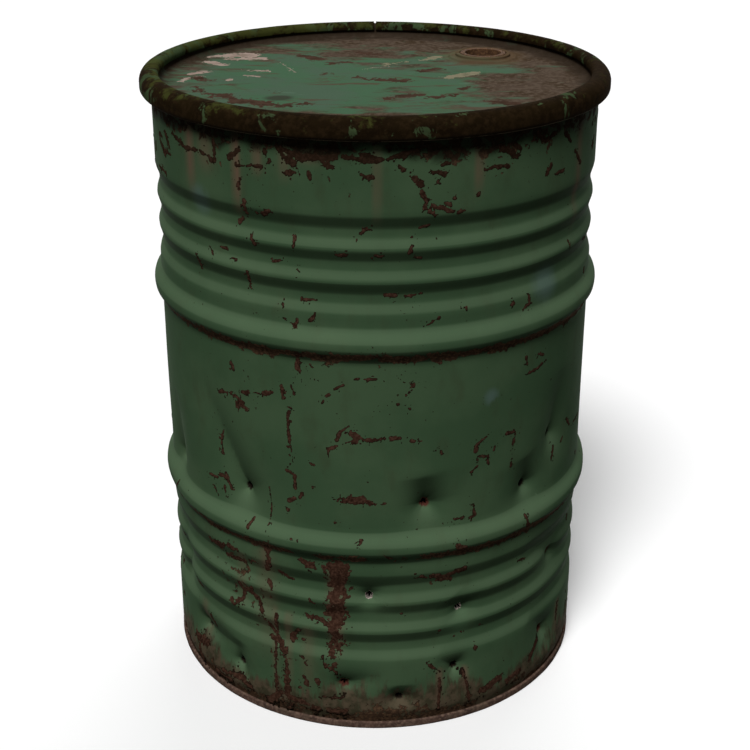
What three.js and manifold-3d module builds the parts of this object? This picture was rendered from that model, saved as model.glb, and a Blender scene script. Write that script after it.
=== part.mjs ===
// Open-head 200 litre steel drum: a seam-welded body with two rolling hoops and two groups of
// three grooves, a seamed bottom, a gasketed lid with one 2 inch bung, and a bolted closing ring.
// The body keeps its bullet holes, dents and creases.
// Millimetres, +Z up, origin on the drum's axis at the floor, -Y towards the front.

import * as THREE from 'three';
import { mergeVertices } from 'three/addons/utils/BufferGeometryUtils.js';
import Module from 'manifold-3d';

const wasm = await Module();
wasm.setup();

// Main sizes of the drum
const bodyRadius = 287;          // outside of the plain wall
const ringTopZ = 828.3;          // top of the closing ring
const bodySheet = 1.2;
const lidSheet = 1.2;
const headSheet = 1.2;
const ringSheet = 2;
const fitGap = 0.3;              // between pieces that touch

// Bottom seam: the head's flange is folded over the body's flange
const seamHeight = 10;
const seamProud = 0.5;           // of the seam beyond the plain wall
const seamCorner = 1.6;
const seamHookLap = 0.5;         // left free at each hook's end
const headRecess = 12;           // floor to the underside of the bottom plate
const headFillet = 9;
const neckRise = 15;             // over which the body narrows to the seam

// Hoops and grooves rolled into the body
const hoopProud = 9.7;
const hoopWidth = 40;
const upperHoopZ = 552.5;
const lowerHoopZ = 277;
const grooveDepth = 4.5;
const grooveCount = 3;
const upperGrooveTopZ = 712;     // upper edge of the top groove
const upperGroovePitch = 40;
const lowerGrooveTopZ = 236;
const lowerGroovePitch = 43;
const grooveShare = 0.96;        // share of the pitch that a groove takes

// Rolled curl at the top of the body, gasket and lid
const curlRadius = 5.5;          // outside of the curl's section
const curlEnd = -120;            // angle at which the curl's edge stops, in degrees
const skirtGap = 0.7;            // curl to the lid's skirt
const lidWallGap = 6.1;          // body to the lid's inner wall
const gasketSideGap = 0.8;
const lidDish = 20.3;            // ring's top down to the lid's plate
const lidFillet = 8;
const crownInnerRadius = 5;
const crownOuterRadius = 12;

// Closing ring, a C section round the lid's crown and the body's curl
const ringHeight = 26.8;
const ringCorner = 6;
const ringLipDrop = 11;          // ring's top down to its inner edge
const ringHookReach = 11.3;      // from the ring's outside in under the curl
const ringGap = 3;              // opening between its two ends, at the back

// Lugs, bolt and nut that draw the ring shut
const lugSpacing = 30;           // between the lugs' inner faces
const lugLength = 22;
const lugRadius = 10.6;
const lugNeck = 2;               // ring down to the round part of the lug
const lugClearance = 1;          // to the body's wall
const boltRadius = 5.9;
const boltLength = 88;           // under the head
const boltHeadAcross = 19;       // across flats
const boltHeadHeight = 7.5;
const nutHeight = 7;
const plainBoreGap = 0.7;
const threadBoreGap = 0.3;

// Bung: boss in the lid, flange crimped into it, gaskets and screw plug
const bungInset = 79.5;          // the lid's wall to the bung's axis
const bungAngle = 131.94;        // from the front towards +X, in degrees
const bossClearance = 2.3;       // the flange's base to the boss's wall
const bossRise = 2.5;
const bossSlope = 2.5;
const crimpHeight = 6.2;         // lid's plate to the top of the crimp
const crimpLip = 5.2;
const threadRadius = 28.8;       // plug's shank, at the thread's mean radius
const threadGap = 0.4;
const plugHeadRadius = 31;
const plugHeadHeight = 4.4;
const plugShank = 12.5;
const plugWall = 4.3;
const plugFloor = 3;
const plugGasketThick = 1.3;
const seatDepth = 4.5;           // of the counterbore that holds the plug's head
const flangeNeckWall = 4.5;
const flangeBaseReach = 6.1;
const flangeBaseThick = 3;
const flangeDepth = 12;          // of the threaded collar under the lid's plate
const flangeCollarWall = 3.8;
const flangeGasketThick = 1.5;
const wrenchPadWidth = 16;
const wrenchPadReach = 7;
const wrenchPadHeight = 9;

// Dents in the body. Angle is in degrees from the front towards +X, height is above the floor, and
// a dent fades along a straight tail from its deepest point to tail = [angle, height].
// Those with a hole were shot or punched through.
const dents = [
  { angle: -36.5, height: 330, depth: 15, reach: 34, tail: [-51, 478], hole: true },
  { angle: 13, height: 333, depth: 13, reach: 30, tail: [12, 378], hole: true },
  { angle: 44, height: 323, depth: 12, reach: 28, tail: [42, 370], hole: true },
  { angle: 56, height: 376, depth: 13, reach: 30, tail: [57, 470], hole: true },
  { angle: -70, height: 316, depth: 14, reach: 30, tail: [-67, 420], hole: true },
  { angle: -1.5, height: 202, depth: 6, reach: 17, tail: [-1.5, 225], hole: true },
  { angle: 23.5, height: 168, depth: 8, reach: 20, tail: [20, 192], hole: true },
  { angle: 60, height: 186, depth: 12, reach: 26, tail: [44, 228], hole: true },
  { angle: -68, height: 142, depth: 10, reach: 22, tail: [-68, 235], hole: false },
  { angle: -57, height: 77, depth: 13, reach: 24, tail: [-38, 80], hole: true },
  { angle: -41, height: 54, depth: 10, reach: 22, tail: [-40, 95], hole: true },
  { angle: -8.5, height: 66, depth: 8, reach: 18, tail: [4, 84], hole: true },
  { angle: 6.5, height: 44, depth: 9, reach: 22, tail: [6, 66], hole: true },
  { angle: 22, height: 82, depth: 8, reach: 18, tail: [16, 100], hole: true },
  { angle: 56.5, height: 69, depth: 12, reach: 24, tail: [47, 112], hole: true },
];
const holeRadius = 3.4;
const holeDepth = 50;            // of the cutter, across the wall
const dentSharpness = 1.3;       // 1 is a cone, 2 a smooth bowl

// Fineness of the turned shapes
const drumColumns = 36;
const frontCrowding = 0.25;      // the drum's columns crowd towards its dented front
const bungColumns = 24;
const boltColumns = 16;
const holeColumns = 8;

// Places that follow from the sizes, from the bottom up
const seamRadius = bodyRadius + seamProud;
const hookFaceR = seamRadius - headSheet - fitGap - bodySheet;
const neckRadius = hookFaceR - headSheet - 2 * fitGap;
const chuckRadius = neckRadius - bodySheet - fitGap - headSheet;
const hookFloorZ = headSheet + fitGap + bodySheet;
const neckTopZ = seamHeight + neckRise;
const ringLowZ = ringTopZ - ringHeight;
const crownTopZ = ringTopZ - ringSheet - fitGap;
const curlCentreR = bodyRadius - bodySheet + curlRadius;
const curlCentreZ = ringLowZ + ringSheet + fitGap + curlRadius;
const skirtRadius = curlCentreR + curlRadius + skirtGap + lidSheet;
const skirtLowZ = ringLowZ + ringCorner + seamHookLap;
const ringRadius = skirtRadius + fitGap + ringSheet;
const lidWallRadius = bodyRadius - bodySheet - lidWallGap - lidSheet;
const plateZ = ringTopZ - lidDish;
const bungReach = lidWallRadius - bungInset;
const bungX = bungReach * Math.sin(THREE.MathUtils.degToRad(bungAngle));
const bungY = -bungReach * Math.cos(THREE.MathUtils.degToRad(bungAngle));
const lugAxisY = bodyRadius + lugClearance + lugRadius;
const lugAxisZ = ringLowZ - fitGap - lugNeck - lugRadius;
const seatRadius = plugHeadRadius + threadGap;
const flangeNeckRadius = seatRadius + flangeNeckWall;
const flangeTopZ = plateZ + crimpHeight - lidSheet - fitGap;
const seatZ = flangeTopZ - seatDepth;
const flangeGasketTopZ = plateZ + bossRise - lidSheet - fitGap;
const flangeBaseTopZ = flangeGasketTopZ - flangeGasketThick - fitGap;
const flangeBaseRadius = flangeNeckRadius + flangeBaseReach;
const bossRadius = flangeBaseRadius + bossClearance + lidSheet + bossSlope;
const plugSeatZ = seatZ + plugGasketThick + 2 * fitGap;

const greenPaint = { color: 0x44624c, roughness: 0.55, metalness: 0.1 };
const rustyLid = { color: 0x5c5145, roughness: 0.75, metalness: 0.1 };
const olivePaint = { color: 0x3b3527, roughness: 0.7, metalness: 0.2 };
const rustedSteel = { color: 0x59402f, roughness: 0.85, metalness: 0.2 };
const rubber = { color: 0x1d1c1a, roughness: 0.9, metalness: 0 };

// Points on an arc from one angle to another, in degrees
function arc(centreR, centreZ, radius, from, to, steps) {
  return Array.from({ length: steps + 1 }, (_, i) => {
    const angle = THREE.MathUtils.degToRad(from + ((to - from) * i) / steps);
    return [centreR + radius * Math.cos(angle), centreZ + radius * Math.sin(angle)];
  });
}

// Outline of a sheet of even thickness with one face along the path. Its other face lies to the
// path's right, or to its left if the thickness is negative, and the corners are mitred.
function sheetOutline(path, thickness) {
  const face = path.map(([r, z]) => new THREE.Vector2(r, z));
  const back = face.map((point, i) => {
    const next = face[Math.min(i + 1, face.length - 1)];
    const previous = face[Math.max(i - 1, 0)];
    const after = i < face.length - 1 ? next.clone().sub(point) : point.clone().sub(previous);
    const before = i > 0 ? point.clone().sub(previous) : after.clone();
    before.normalize();
    after.normalize();
    const right = new THREE.Vector2(before.y + after.y, -before.x - after.x).normalize();
    const squareness = right.x * before.y - right.y * before.x;
    return point.clone().addScaledVector(right, thickness / squareness);
  });
  return [...face, ...back.reverse()];
}

// A solid of revolution about +Z, from an outline of [radius, height] that closes on itself or
// has both ends on the axis. Angle 0 faces -Y and grows towards +X.
function turned(outline, segments) {
  const points = outline.map((p) => (p.isVector2 ? p : new THREE.Vector2(...p)));
  if (THREE.ShapeUtils.isClockWise(points)) points.reverse();
  if (points.every((p) => p.x > 0)) points.push(points[0]);
  return new THREE.LatheGeometry(points, segments).rotateX(Math.PI / 2);
}

// Moves each vertex by a function of its radius, angle in radians and height, which gives a new
// radius and angle
function reshaped(geometry, change) {
  const position = geometry.attributes.position;
  for (let i = 0; i < position.count; i++) {
    const x = position.getX(i);
    const y = position.getY(i);
    const [radius, angle] = change(Math.hypot(x, y), Math.atan2(x, -y), position.getZ(i));
    position.setXY(i, radius * Math.sin(angle), -radius * Math.cos(angle));
  }
  return geometry;
}

// One of the drum's large discs or rings. They all have their facets at the same angles, so that
// pieces nested in one another keep their gap.
function drumTurned(outline) {
  return reshaped(turned(outline, drumColumns), (radius, angle) => [
    radius,
    angle - frontCrowding * Math.sin(angle),
  ]);
}

function bungTurned(outline) {
  return turned(outline, bungColumns).translate(bungX, bungY, 0);
}

function toSolid(geometry) {
  const bare = geometry.clone();
  bare.deleteAttribute('normal');
  bare.deleteAttribute('uv');
  const closed = mergeVertices(bare, 1e-4);
  return new wasm.Manifold(
    new wasm.Mesh({
      numProp: 3,
      vertProperties: new Float32Array(closed.attributes.position.array),
      triVerts: new Uint32Array(closed.index.array),
    }),
  );
}

function toGeometry(solid) {
  const mesh = solid.getMesh();
  const geometry = new THREE.BufferGeometry();
  geometry.setAttribute('position', new THREE.BufferAttribute(mesh.vertProperties, 3));
  geometry.setIndex(new THREE.BufferAttribute(mesh.triVerts, 1));
  geometry.computeVertexNormals();
  return geometry;
}

function cut(geometry, tools) {
  const solid = tools.reduce((left, tool) => left.subtract(toSolid(tool)), toSolid(geometry));
  return toGeometry(solid);
}

function joined(...geometries) {
  return toGeometry(geometries.map(toSolid).reduce((whole, next) => whole.add(next)));
}

// How far the wall is pushed in at an angle in degrees and a height. Each dent falls off from its
// tail as exp(-(distance / reach) ** sharpness), and the tail fades towards its end.
function dentAt(angle, height) {
  const around = THREE.MathUtils.degToRad(bodyRadius);
  let depth = 0;
  for (const dent of dents) {
    const point = new THREE.Vector2((angle - dent.angle) * around, height - dent.height);
    const tail = new THREE.Vector2((dent.tail[0] - dent.angle) * around, dent.tail[1] - dent.height);
    const share = THREE.MathUtils.clamp(point.dot(tail) / tail.lengthSq(), 0, 1);
    const distance = point.distanceTo(tail.multiplyScalar(share));
    depth += dent.depth * (1 - share) * Math.exp(-((distance / dent.reach) ** dentSharpness));
  }
  return depth * THREE.MathUtils.smoothstep(height, neckTopZ, neckTopZ + neckRise);
}

// Heights at even steps between two heights, without either
function between(low, high, steps) {
  return Array.from({ length: steps - 1 }, (_, i) => low + ((high - low) * (i + 1)) / steps);
}

function hoop(middleZ) {
  const shape = [[-0.5, 0], [-0.34, 0.45], [-0.18, 0.92], [0, 1], [0.18, 0.92], [0.34, 0.45], [0.5, 0]];
  return shape.map(([along, out]) => [bodyRadius + hoopProud * out, middleZ + hoopWidth * along]);
}

function grooves(topZ, pitch) {
  const points = [];
  for (let i = grooveCount; i > 0; i--) {
    const lowZ = topZ - pitch * i;
    const width = pitch * grooveShare;
    points.push([bodyRadius, lowZ]);
    points.push([bodyRadius - grooveDepth, lowZ + width * 0.36]);
    points.push([bodyRadius - grooveDepth, lowZ + width * 0.64]);
  }
  return [...points, [bodyRadius, topZ]];
}

// Body: the outside of the sheet runs from its hook in the bottom seam up to the inside of its curl
function bodyShell() {
  const wall = (z) => [bodyRadius, z];
  const lowerGroovesLowZ = lowerGrooveTopZ - lowerGroovePitch * grooveCount;
  const path = [
    [hookFaceR, seamHeight - headSheet - fitGap - seamHookLap],
    [hookFaceR, hookFloorZ],
    [neckRadius, hookFloorZ],
    [neckRadius, seamHeight + fitGap],
    wall(neckTopZ),
    ...between(neckTopZ, lowerGroovesLowZ, 5).map(wall),
    ...grooves(lowerGrooveTopZ, lowerGroovePitch),
    ...hoop(lowerHoopZ),
    ...between(lowerHoopZ + hoopWidth / 2, upperHoopZ - hoopWidth / 2, 5).map(wall),
    ...hoop(upperHoopZ),
    ...grooves(upperGrooveTopZ, upperGroovePitch),
    ...between(upperGrooveTopZ, curlCentreZ, 3).map(wall),
    ...arc(curlCentreR, curlCentreZ, curlRadius - bodySheet, 180, curlEnd, 7),
  ];
  const plain = drumTurned(sheetOutline(path, -bodySheet));
  const dented = reshaped(plain, (radius, angle, z) => [
    radius - (z < ringLowZ ? dentAt(THREE.MathUtils.radToDeg(angle), z) : 0),
    angle,
  ]);
  const holes = dents.filter((dent) => dent.hole).map((dent) =>
    new THREE.CylinderGeometry(holeRadius, holeRadius, holeDepth, holeColumns)
      .translate(0, holeDepth / 3 - bodyRadius, dent.height)
      .rotateZ(THREE.MathUtils.degToRad(dent.angle)),
  );
  return cut(dented, holes);
}

// Bottom head: plate, chuck wall inside the body's neck, and a flange folded over the body's hook
function bottomHead() {
  const coverFaceR = neckRadius + fitGap;
  const corner = seamCorner;
  const path = [
    [0, headRecess],
    ...arc(chuckRadius - headFillet, headRecess - headFillet, headFillet, 90, 0, 3),
    ...arc(chuckRadius + corner, corner, corner, 180, 270, 2),
    ...arc(seamRadius - corner, corner, corner, 270, 360, 2),
    ...arc(seamRadius - corner, seamHeight - corner, corner, 0, 90, 2),
    ...arc(coverFaceR + corner, seamHeight - corner, corner, 90, 180, 2),
    [coverFaceR, hookFloorZ + seamHookLap],
  ];
  return drumTurned(sheetOutline(path, -headSheet));
}

// Lid: plate, wall and crown over the curl, down to the edge of the skirt. The bung's boss is
// raised in the plate, and its neck is crimped over the flange.
function lid() {
  const path = [
    [0, plateZ],
    ...arc(lidWallRadius - lidFillet, plateZ + lidFillet, lidFillet, -90, 0, 3),
    ...arc(lidWallRadius + crownInnerRadius, crownTopZ - crownInnerRadius, crownInnerRadius, 180, 90, 2),
    ...arc(skirtRadius - crownOuterRadius, crownTopZ - crownOuterRadius, crownOuterRadius, 90, 0, 4),
    [skirtRadius, skirtLowZ],
  ];
  const cover = drumTurned(sheetOutline(path, lidSheet));
  const bossHole = new THREE.CylinderGeometry(bossRadius, bossRadius, lidDish, bungColumns)
    .rotateX(Math.PI / 2)
    .translate(bungX, bungY, plateZ);
  const neckFaceR = flangeNeckRadius + fitGap + lidSheet;
  const bossPath = [
    [bossRadius + lidSheet, plateZ],
    [bossRadius, plateZ],
    [bossRadius - bossSlope, plateZ + bossRise],
    [neckFaceR, plateZ + bossRise],
    [neckFaceR, plateZ + crimpHeight],
    [neckFaceR - crimpLip, plateZ + crimpHeight],
  ];
  const boss = bungTurned(sheetOutline(bossPath, -lidSheet));
  return joined(cut(cover, [bossHole]), boss);
}

function lidGasket() {
  const lowZ = curlCentreZ + curlRadius + fitGap;
  const innerR = lidWallRadius + lidSheet + gasketSideGap;
  const innerCorner = crownInnerRadius - lidSheet;
  const outerCorner = crownOuterRadius - lidSheet - fitGap;
  const topZ = crownTopZ - lidSheet - fitGap;
  const outerCentreZ = topZ - outerCorner;
  const lowAngle = THREE.MathUtils.radToDeg(Math.asin((lowZ - outerCentreZ) / outerCorner));
  return drumTurned([
    [innerR, lowZ],
    ...arc(skirtRadius - crownOuterRadius, outerCentreZ, outerCorner, lowAngle, 90, 3),
    ...arc(innerR + innerCorner, topZ - innerCorner, innerCorner, 90, 180, 2),
  ]);
}

// Closing ring, open at the back between its ends
function closingRing() {
  const wrap = fitGap + ringSheet;
  const path = [
    [lidWallRadius - wrap, ringTopZ - ringLipDrop],
    ...arc(
      lidWallRadius + crownInnerRadius, crownTopZ - crownInnerRadius, crownInnerRadius + wrap, 180, 90, 2,
    ),
    ...arc(
      skirtRadius - crownOuterRadius, crownTopZ - crownOuterRadius, crownOuterRadius + wrap, 90, 0, 4,
    ),
    ...arc(ringRadius - ringCorner, ringLowZ + ringCorner, ringCorner, 0, -90, 3),
    [ringRadius - ringHookReach, ringLowZ],
  ];
  const opening = new THREE.BoxGeometry(ringGap, bodyRadius, ringHeight * 2)
    .translate(0, bodyRadius, ringLowZ);
  return cut(drumTurned(sheetOutline(path, ringSheet)), [opening]);
}

// A cylinder along +X on the bolt's axis, from one x to another
function alongBolt(radius, fromX, toX, sides) {
  return new THREE.CylinderGeometry(radius, radius, toX - fromX, sides)
    .rotateZ(-Math.PI / 2)
    .translate((fromX + toX) / 2, lugAxisY, lugAxisZ);
}

// A forged lug that hangs under the ring, from one x to another, bored along X for the bolt
function ringLug(fromX, boreRadius) {
  const topZ = ringLowZ - fitGap;
  const shape = new THREE.Shape();
  shape.moveTo(lugAxisY - lugRadius, topZ);
  shape.lineTo(lugAxisY - lugRadius, lugAxisZ);
  shape.absarc(lugAxisY, lugAxisZ, lugRadius, Math.PI, 2 * Math.PI, false);
  shape.lineTo(ringRadius, topZ);
  const block = new THREE.ExtrudeGeometry(shape, {
    depth: lugLength,
    bevelEnabled: false,
    curveSegments: boltColumns / 2,
  });
  const alongX = new THREE.Matrix4().makeBasis(
    new THREE.Vector3(0, 1, 0),
    new THREE.Vector3(0, 0, 1),
    new THREE.Vector3(1, 0, 0),
  );
  block.applyMatrix4(alongX).translate(fromX, 0, 0);
  const bore = alongBolt(boreRadius, fromX - lugLength, fromX + 2 * lugLength, boltColumns);
  return cut(block, [bore]);
}

const plainLugX = -lugSpacing / 2 - lugLength;
const hexRadius = boltHeadAcross / Math.sqrt(3);

function ringBolt() {
  const headEndX = plainLugX - fitGap;
  const shank = alongBolt(boltRadius, headEndX - fitGap, headEndX + boltLength, boltColumns);
  const head = alongBolt(hexRadius, headEndX - boltHeadHeight, headEndX, 6);
  return joined(shank, head);
}

function ringJamNut() {
  const seatX = -lugSpacing / 2 + fitGap;
  const nut = alongBolt(hexRadius, seatX, seatX + nutHeight, 6);
  const bore = alongBolt(boltRadius + threadBoreGap, seatX - 1, seatX + nutHeight + 1, boltColumns);
  return cut(nut, [bore]);
}

// Flange: base under the lid, neck inside the crimp, counterbore for the plug's head, and a
// collar with the thread
function bungFlange() {
  const boreR = threadRadius + threadGap;
  return bungTurned([
    [boreR, plateZ - flangeDepth],
    [boreR + flangeCollarWall, plateZ - flangeDepth],
    [boreR + flangeCollarWall, flangeBaseTopZ - flangeBaseThick],
    [flangeBaseRadius, flangeBaseTopZ - flangeBaseThick],
    [flangeBaseRadius, flangeBaseTopZ],
    [flangeNeckRadius, flangeBaseTopZ],
    [flangeNeckRadius, flangeTopZ],
    [seatRadius, flangeTopZ],
    [seatRadius, seatZ],
    [boreR, seatZ],
  ]);
}

function flatRing(innerR, outerR, lowZ, highZ) {
  return bungTurned([[innerR, lowZ], [outerR, lowZ], [outerR, highZ], [innerR, highZ]]);
}

// Plug: a pressed cup with a head, a threaded shank and two pads that the wrench turns it by
function bungPlug() {
  const lowZ = plugSeatZ - plugShank;
  const topZ = plugSeatZ + plugHeadHeight;
  const cupRadius = threadRadius - plugWall;
  const cup = bungTurned([
    [0, lowZ],
    [threadRadius, lowZ],
    [threadRadius, plugSeatZ],
    [plugHeadRadius, plugSeatZ],
    [plugHeadRadius, topZ],
    [cupRadius, topZ],
    [cupRadius, lowZ + plugFloor],
    [0, lowZ + plugFloor],
  ]);
  const padLength = wrenchPadReach + plugWall / 2;
  const padHeight = wrenchPadHeight + plugFloor / 2;
  const pads = [-1, 1].map((side) =>
    new THREE.BoxGeometry(padLength, wrenchPadWidth, padHeight).translate(
      bungX + side * (cupRadius + plugWall / 2 - padLength / 2),
      bungY,
      lowZ + plugFloor / 2 + padHeight / 2,
    ),
  );
  return joined(cup, ...pads);
}

const drum = new THREE.Group();

function add(name, geometry, finish) {
  const mesh = new THREE.Mesh(geometry, new THREE.MeshStandardMaterial(finish));
  mesh.name = name;
  drum.add(mesh);
}

add('body_shell', bodyShell(), greenPaint);
add('bottom_head', bottomHead(), rustedSteel);
add('lid', lid(), rustyLid);
add('lid_gasket', lidGasket(), rubber);
add('closing_ring', closingRing(), olivePaint);
add('ring_lug_plain', ringLug(plainLugX, boltRadius + plainBoreGap), rustedSteel);
add('ring_lug_threaded', ringLug(lugSpacing / 2, boltRadius + threadBoreGap), rustedSteel);
add('ring_bolt', ringBolt(), rustedSteel);
add('ring_jam_nut', ringJamNut(), rustedSteel);
add('bung_flange', bungFlange(), rustedSteel);
add(
  'bung_flange_gasket',
  flatRing(
    flangeNeckRadius + fitGap, flangeBaseRadius - fitGap,
    flangeBaseTopZ + fitGap, flangeGasketTopZ,
  ),
  rubber,
);
add('bung_plug', bungPlug(), rustedSteel);
add(
  'bung_plug_gasket',
  flatRing(threadRadius + threadGap, plugHeadRadius, seatZ + fitGap, plugSeatZ - fitGap),
  rubber,
);

export default drum;
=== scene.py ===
import math

import bmesh
import bpy
import numpy as np
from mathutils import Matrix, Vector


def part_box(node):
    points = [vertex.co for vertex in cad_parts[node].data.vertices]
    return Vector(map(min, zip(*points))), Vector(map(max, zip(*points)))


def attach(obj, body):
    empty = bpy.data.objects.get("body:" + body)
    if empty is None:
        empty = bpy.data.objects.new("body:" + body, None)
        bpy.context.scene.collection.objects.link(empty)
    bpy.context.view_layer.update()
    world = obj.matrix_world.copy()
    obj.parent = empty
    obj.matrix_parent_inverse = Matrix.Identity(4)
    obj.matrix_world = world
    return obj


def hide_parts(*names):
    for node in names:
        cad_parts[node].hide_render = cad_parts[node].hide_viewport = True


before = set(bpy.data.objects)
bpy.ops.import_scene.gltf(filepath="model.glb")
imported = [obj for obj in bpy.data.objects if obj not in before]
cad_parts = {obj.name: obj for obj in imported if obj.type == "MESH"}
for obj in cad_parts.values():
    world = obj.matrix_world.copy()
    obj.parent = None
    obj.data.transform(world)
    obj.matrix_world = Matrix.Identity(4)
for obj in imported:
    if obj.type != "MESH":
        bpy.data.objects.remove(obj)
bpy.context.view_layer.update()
print("frame loaded")

# Lengths are millimetres here and become metres in meshPiece. Angles round the drum are degrees from
# the front (-Y) towards +X, and heights are above the floor.
mm = 0.001


def frameBox(node):
    # the lowest and the highest corner of a node of the frame, in mm
    return [np.array(corner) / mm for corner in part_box(node)]


plugLow, plugHigh = frameBox("bung_plug")
bungCentre = ((plugLow + plugHigh) / 2).tolist()[:2]


# Small tools for surfaces

def around(radius, angle, height):
    # a point on a cylinder: x = radius * sin(angle), y = -radius * cos(angle)
    turn = np.radians(angle)
    return np.stack(np.broadcast_arrays(radius * np.sin(turn), -radius * np.cos(turn), height), -1)


def arcPoints(centreR, centreZ, radius, start, end, steps):
    # points on an arc in the radius and height plane, from one angle in degrees to another
    turn = np.radians(np.linspace(start, end, steps + 1))
    return np.stack([centreR + radius * np.cos(turn), centreZ + radius * np.sin(turn)], -1)


def rounded(corners, radius, steps=4, closed=True):
    # a polygon whose corners become short quadratic curves that start and end radius away from them
    corners = np.asarray(corners, float)
    points = []
    for i, corner in enumerate(corners):
        if not closed and i in (0, len(corners) - 1):
            points.append(corner[None])
            continue
        before, after = corners[i - 1] - corner, corners[(i + 1) % len(corners)] - corner
        reach = [min(radius, np.linalg.norm(side) * 0.45) for side in (before, after)]
        first = corner + before / np.linalg.norm(before) * reach[0]
        last = corner + after / np.linalg.norm(after) * reach[1]
        t = np.linspace(0, 1, steps + 1)[:, None]
        points.append((1 - t) ** 2 * first + 2 * t * (1 - t) * corner + t ** 2 * last)
    return np.concatenate(points)


def spaced(path, step):
    # the same path with extra points, so that no two lie further apart than step
    pieces = [path[:1]]
    for start, end in zip(path[:-1], path[1:]):
        count = max(1, int(math.ceil(np.linalg.norm(end - start) / step)))
        pieces.append(start + (end - start) * np.linspace(0, 1, count + 1)[1:, None])
    return np.concatenate(pieces)


def gridFaces(rows, columns, wrapColumns=True, wrapRows=False):
    # quads between neighbours of a grid, facing right of the rows' direction, seen along the columns
    row = np.arange(rows if wrapRows else rows - 1)[:, None]
    column = np.arange(columns if wrapColumns else columns - 1)[None]
    nextRow, nextColumn = (row + 1) % rows, (column + 1) % columns
    corners = [row * columns + column, row * columns + nextColumn,
               nextRow * columns + nextColumn, nextRow * columns + column]
    return np.stack(np.broadcast_arrays(*corners), -1).reshape(-1, 4)


def fullTurn(columns):
    # the angles of the columns of a grid that goes once round
    return np.arange(columns)[None] * 360 / columns


def lattice(u, v, cell, seed):
    # smooth random values from -1 to 1: one for each corner of a square cell, blended in between
    cellU, cellV = np.floor(u / cell), np.floor(v / cell)
    shareU, shareV = u / cell - cellU, v / cell - cellV
    shareU, shareV = shareU ** 2 * (3 - 2 * shareU), shareV ** 2 * (3 - 2 * shareV)

    def corner(a, b):
        wave = np.sin(a * 127.1 + b * 311.7 + seed * 74.7) * 43758.5453
        return 2 * (wave - np.floor(wave)) - 1

    low = corner(cellU, cellV) * (1 - shareU) + corner(cellU + 1, cellV) * shareU
    high = corner(cellU, cellV + 1) * (1 - shareU) + corner(cellU + 1, cellV + 1) * shareU
    return low * (1 - shareV) + high * shareV


def fractal(u, v, cell, seed):
    # three lattices, each of half the cell and half the strength of the one before
    return sum(lattice(u, v, cell / 2 ** k, seed + k) / 2 ** k for k in range(3)) / 1.75


def ramp(value, low, high):
    # smooth step from 0 at low to 1 at high, also when low is above high
    share = np.clip((value - low) / (high - low), 0, 1)
    return share ** 2 * (3 - 2 * share)


def linked(name, mesh, finish):
    # an object for a mesh, in the scene and with its finish
    piece = bpy.data.objects.new(name, mesh)
    bpy.context.collection.objects.link(piece)
    mesh.materials.append(finish)
    return piece


def meshPiece(name, points, faces, finish, replaces=(), body="drum", fields=None, wall=0,
              crease=None):
    # a mesh object from points in mm. fields are values at the points, wall is a sheet's thickness,
    # laid on the side that the faces look away from, and crease is the angle above which edges are sharp
    points = points.reshape(-1, 3)
    used, faces = np.unique(faces, return_inverse=True)
    faces = faces.reshape(-1, 4)
    mesh = bpy.data.meshes.new(name)
    mesh.from_pydata((points[used] * mm).tolist(), [], faces.tolist())
    for field, values in (fields or {}).items():
        values = values.reshape(len(points), -1)[used].astype(np.float32)
        kind, key = ("FLOAT", "value") if values.shape[1] == 1 else ("FLOAT_COLOR", "color")
        mesh.attributes.new(field, kind, "POINT").data.foreach_set(key, values.ravel())
    shell = bmesh.new()
    shell.from_mesh(mesh)
    bmesh.ops.remove_doubles(shell, verts=shell.verts, dist=1e-6)
    shell.to_mesh(mesh)
    shell.free()
    mesh.shade_smooth()
    if crease:
        mesh.set_sharp_from_angle(angle=math.radians(crease))
    piece = linked(name, mesh, finish)
    if wall:
        sheet = piece.modifiers.new("sheet", "SOLIDIFY")
        sheet.thickness = wall * mm
        sheet.offset = -1
        sheet.use_even_offset = False
    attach(piece, body)
    if replaces:
        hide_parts(replaces)


# Small tools for materials

def linear(hexColour):
    # sRGB hex to the linear values that Blender's sockets take
    values = [int(hexColour[i:i + 2], 16) / 255 for i in (1, 3, 5)]
    return [v / 12.92 if v <= 0.04045 else ((v + 0.055) / 1.055) ** 2.4 for v in values] + [1]


# which sockets the values of a node go to, unless they are its first ones, and the settings that a
# kind of node has here unless others are given
socketsOf = {
    "Mix": (0, 6, 7),
    "Mapping": ("Vector", "Scale", "Location"),
    "TexNoise": ("Vector", "Scale", "Detail", "Roughness", "Distortion"),
    "Bump": ("Strength", "Distance", "Height", "Normal"),
    "BsdfPrincipled": ("Base Color", "Roughness", "Metallic", "Specular IOR Level", "Normal"),
}
settingsOf = {"Mix": {"data_type": "RGBA"}, "MapRange": {"interpolation_type": "SMOOTHSTEP"}}


def addNode(tree, kind, *values, **settings):
    # adds a node, whose kind may be followed by its operation, and gives its sockets their values or
    # links. None leaves a socket as it is. Returns the output that is in use.
    kind, _, operation = kind.partition(" ")
    node = tree.nodes.new("ShaderNode" + kind)
    if operation:
        node.operation = operation
    for key, value in (settingsOf.get(kind, {}) | settings).items():
        setattr(node, key, value)
    for key, value in zip(socketsOf.get(kind, range(5)), values):
        if isinstance(value, bpy.types.NodeSocket):
            tree.links.new(value, node.inputs[key])
        elif value is not None:
            node.inputs[key].default_value = linear(value) if isinstance(value, str) else value
    return next((output for output in node.outputs if output.enabled), None)


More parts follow.
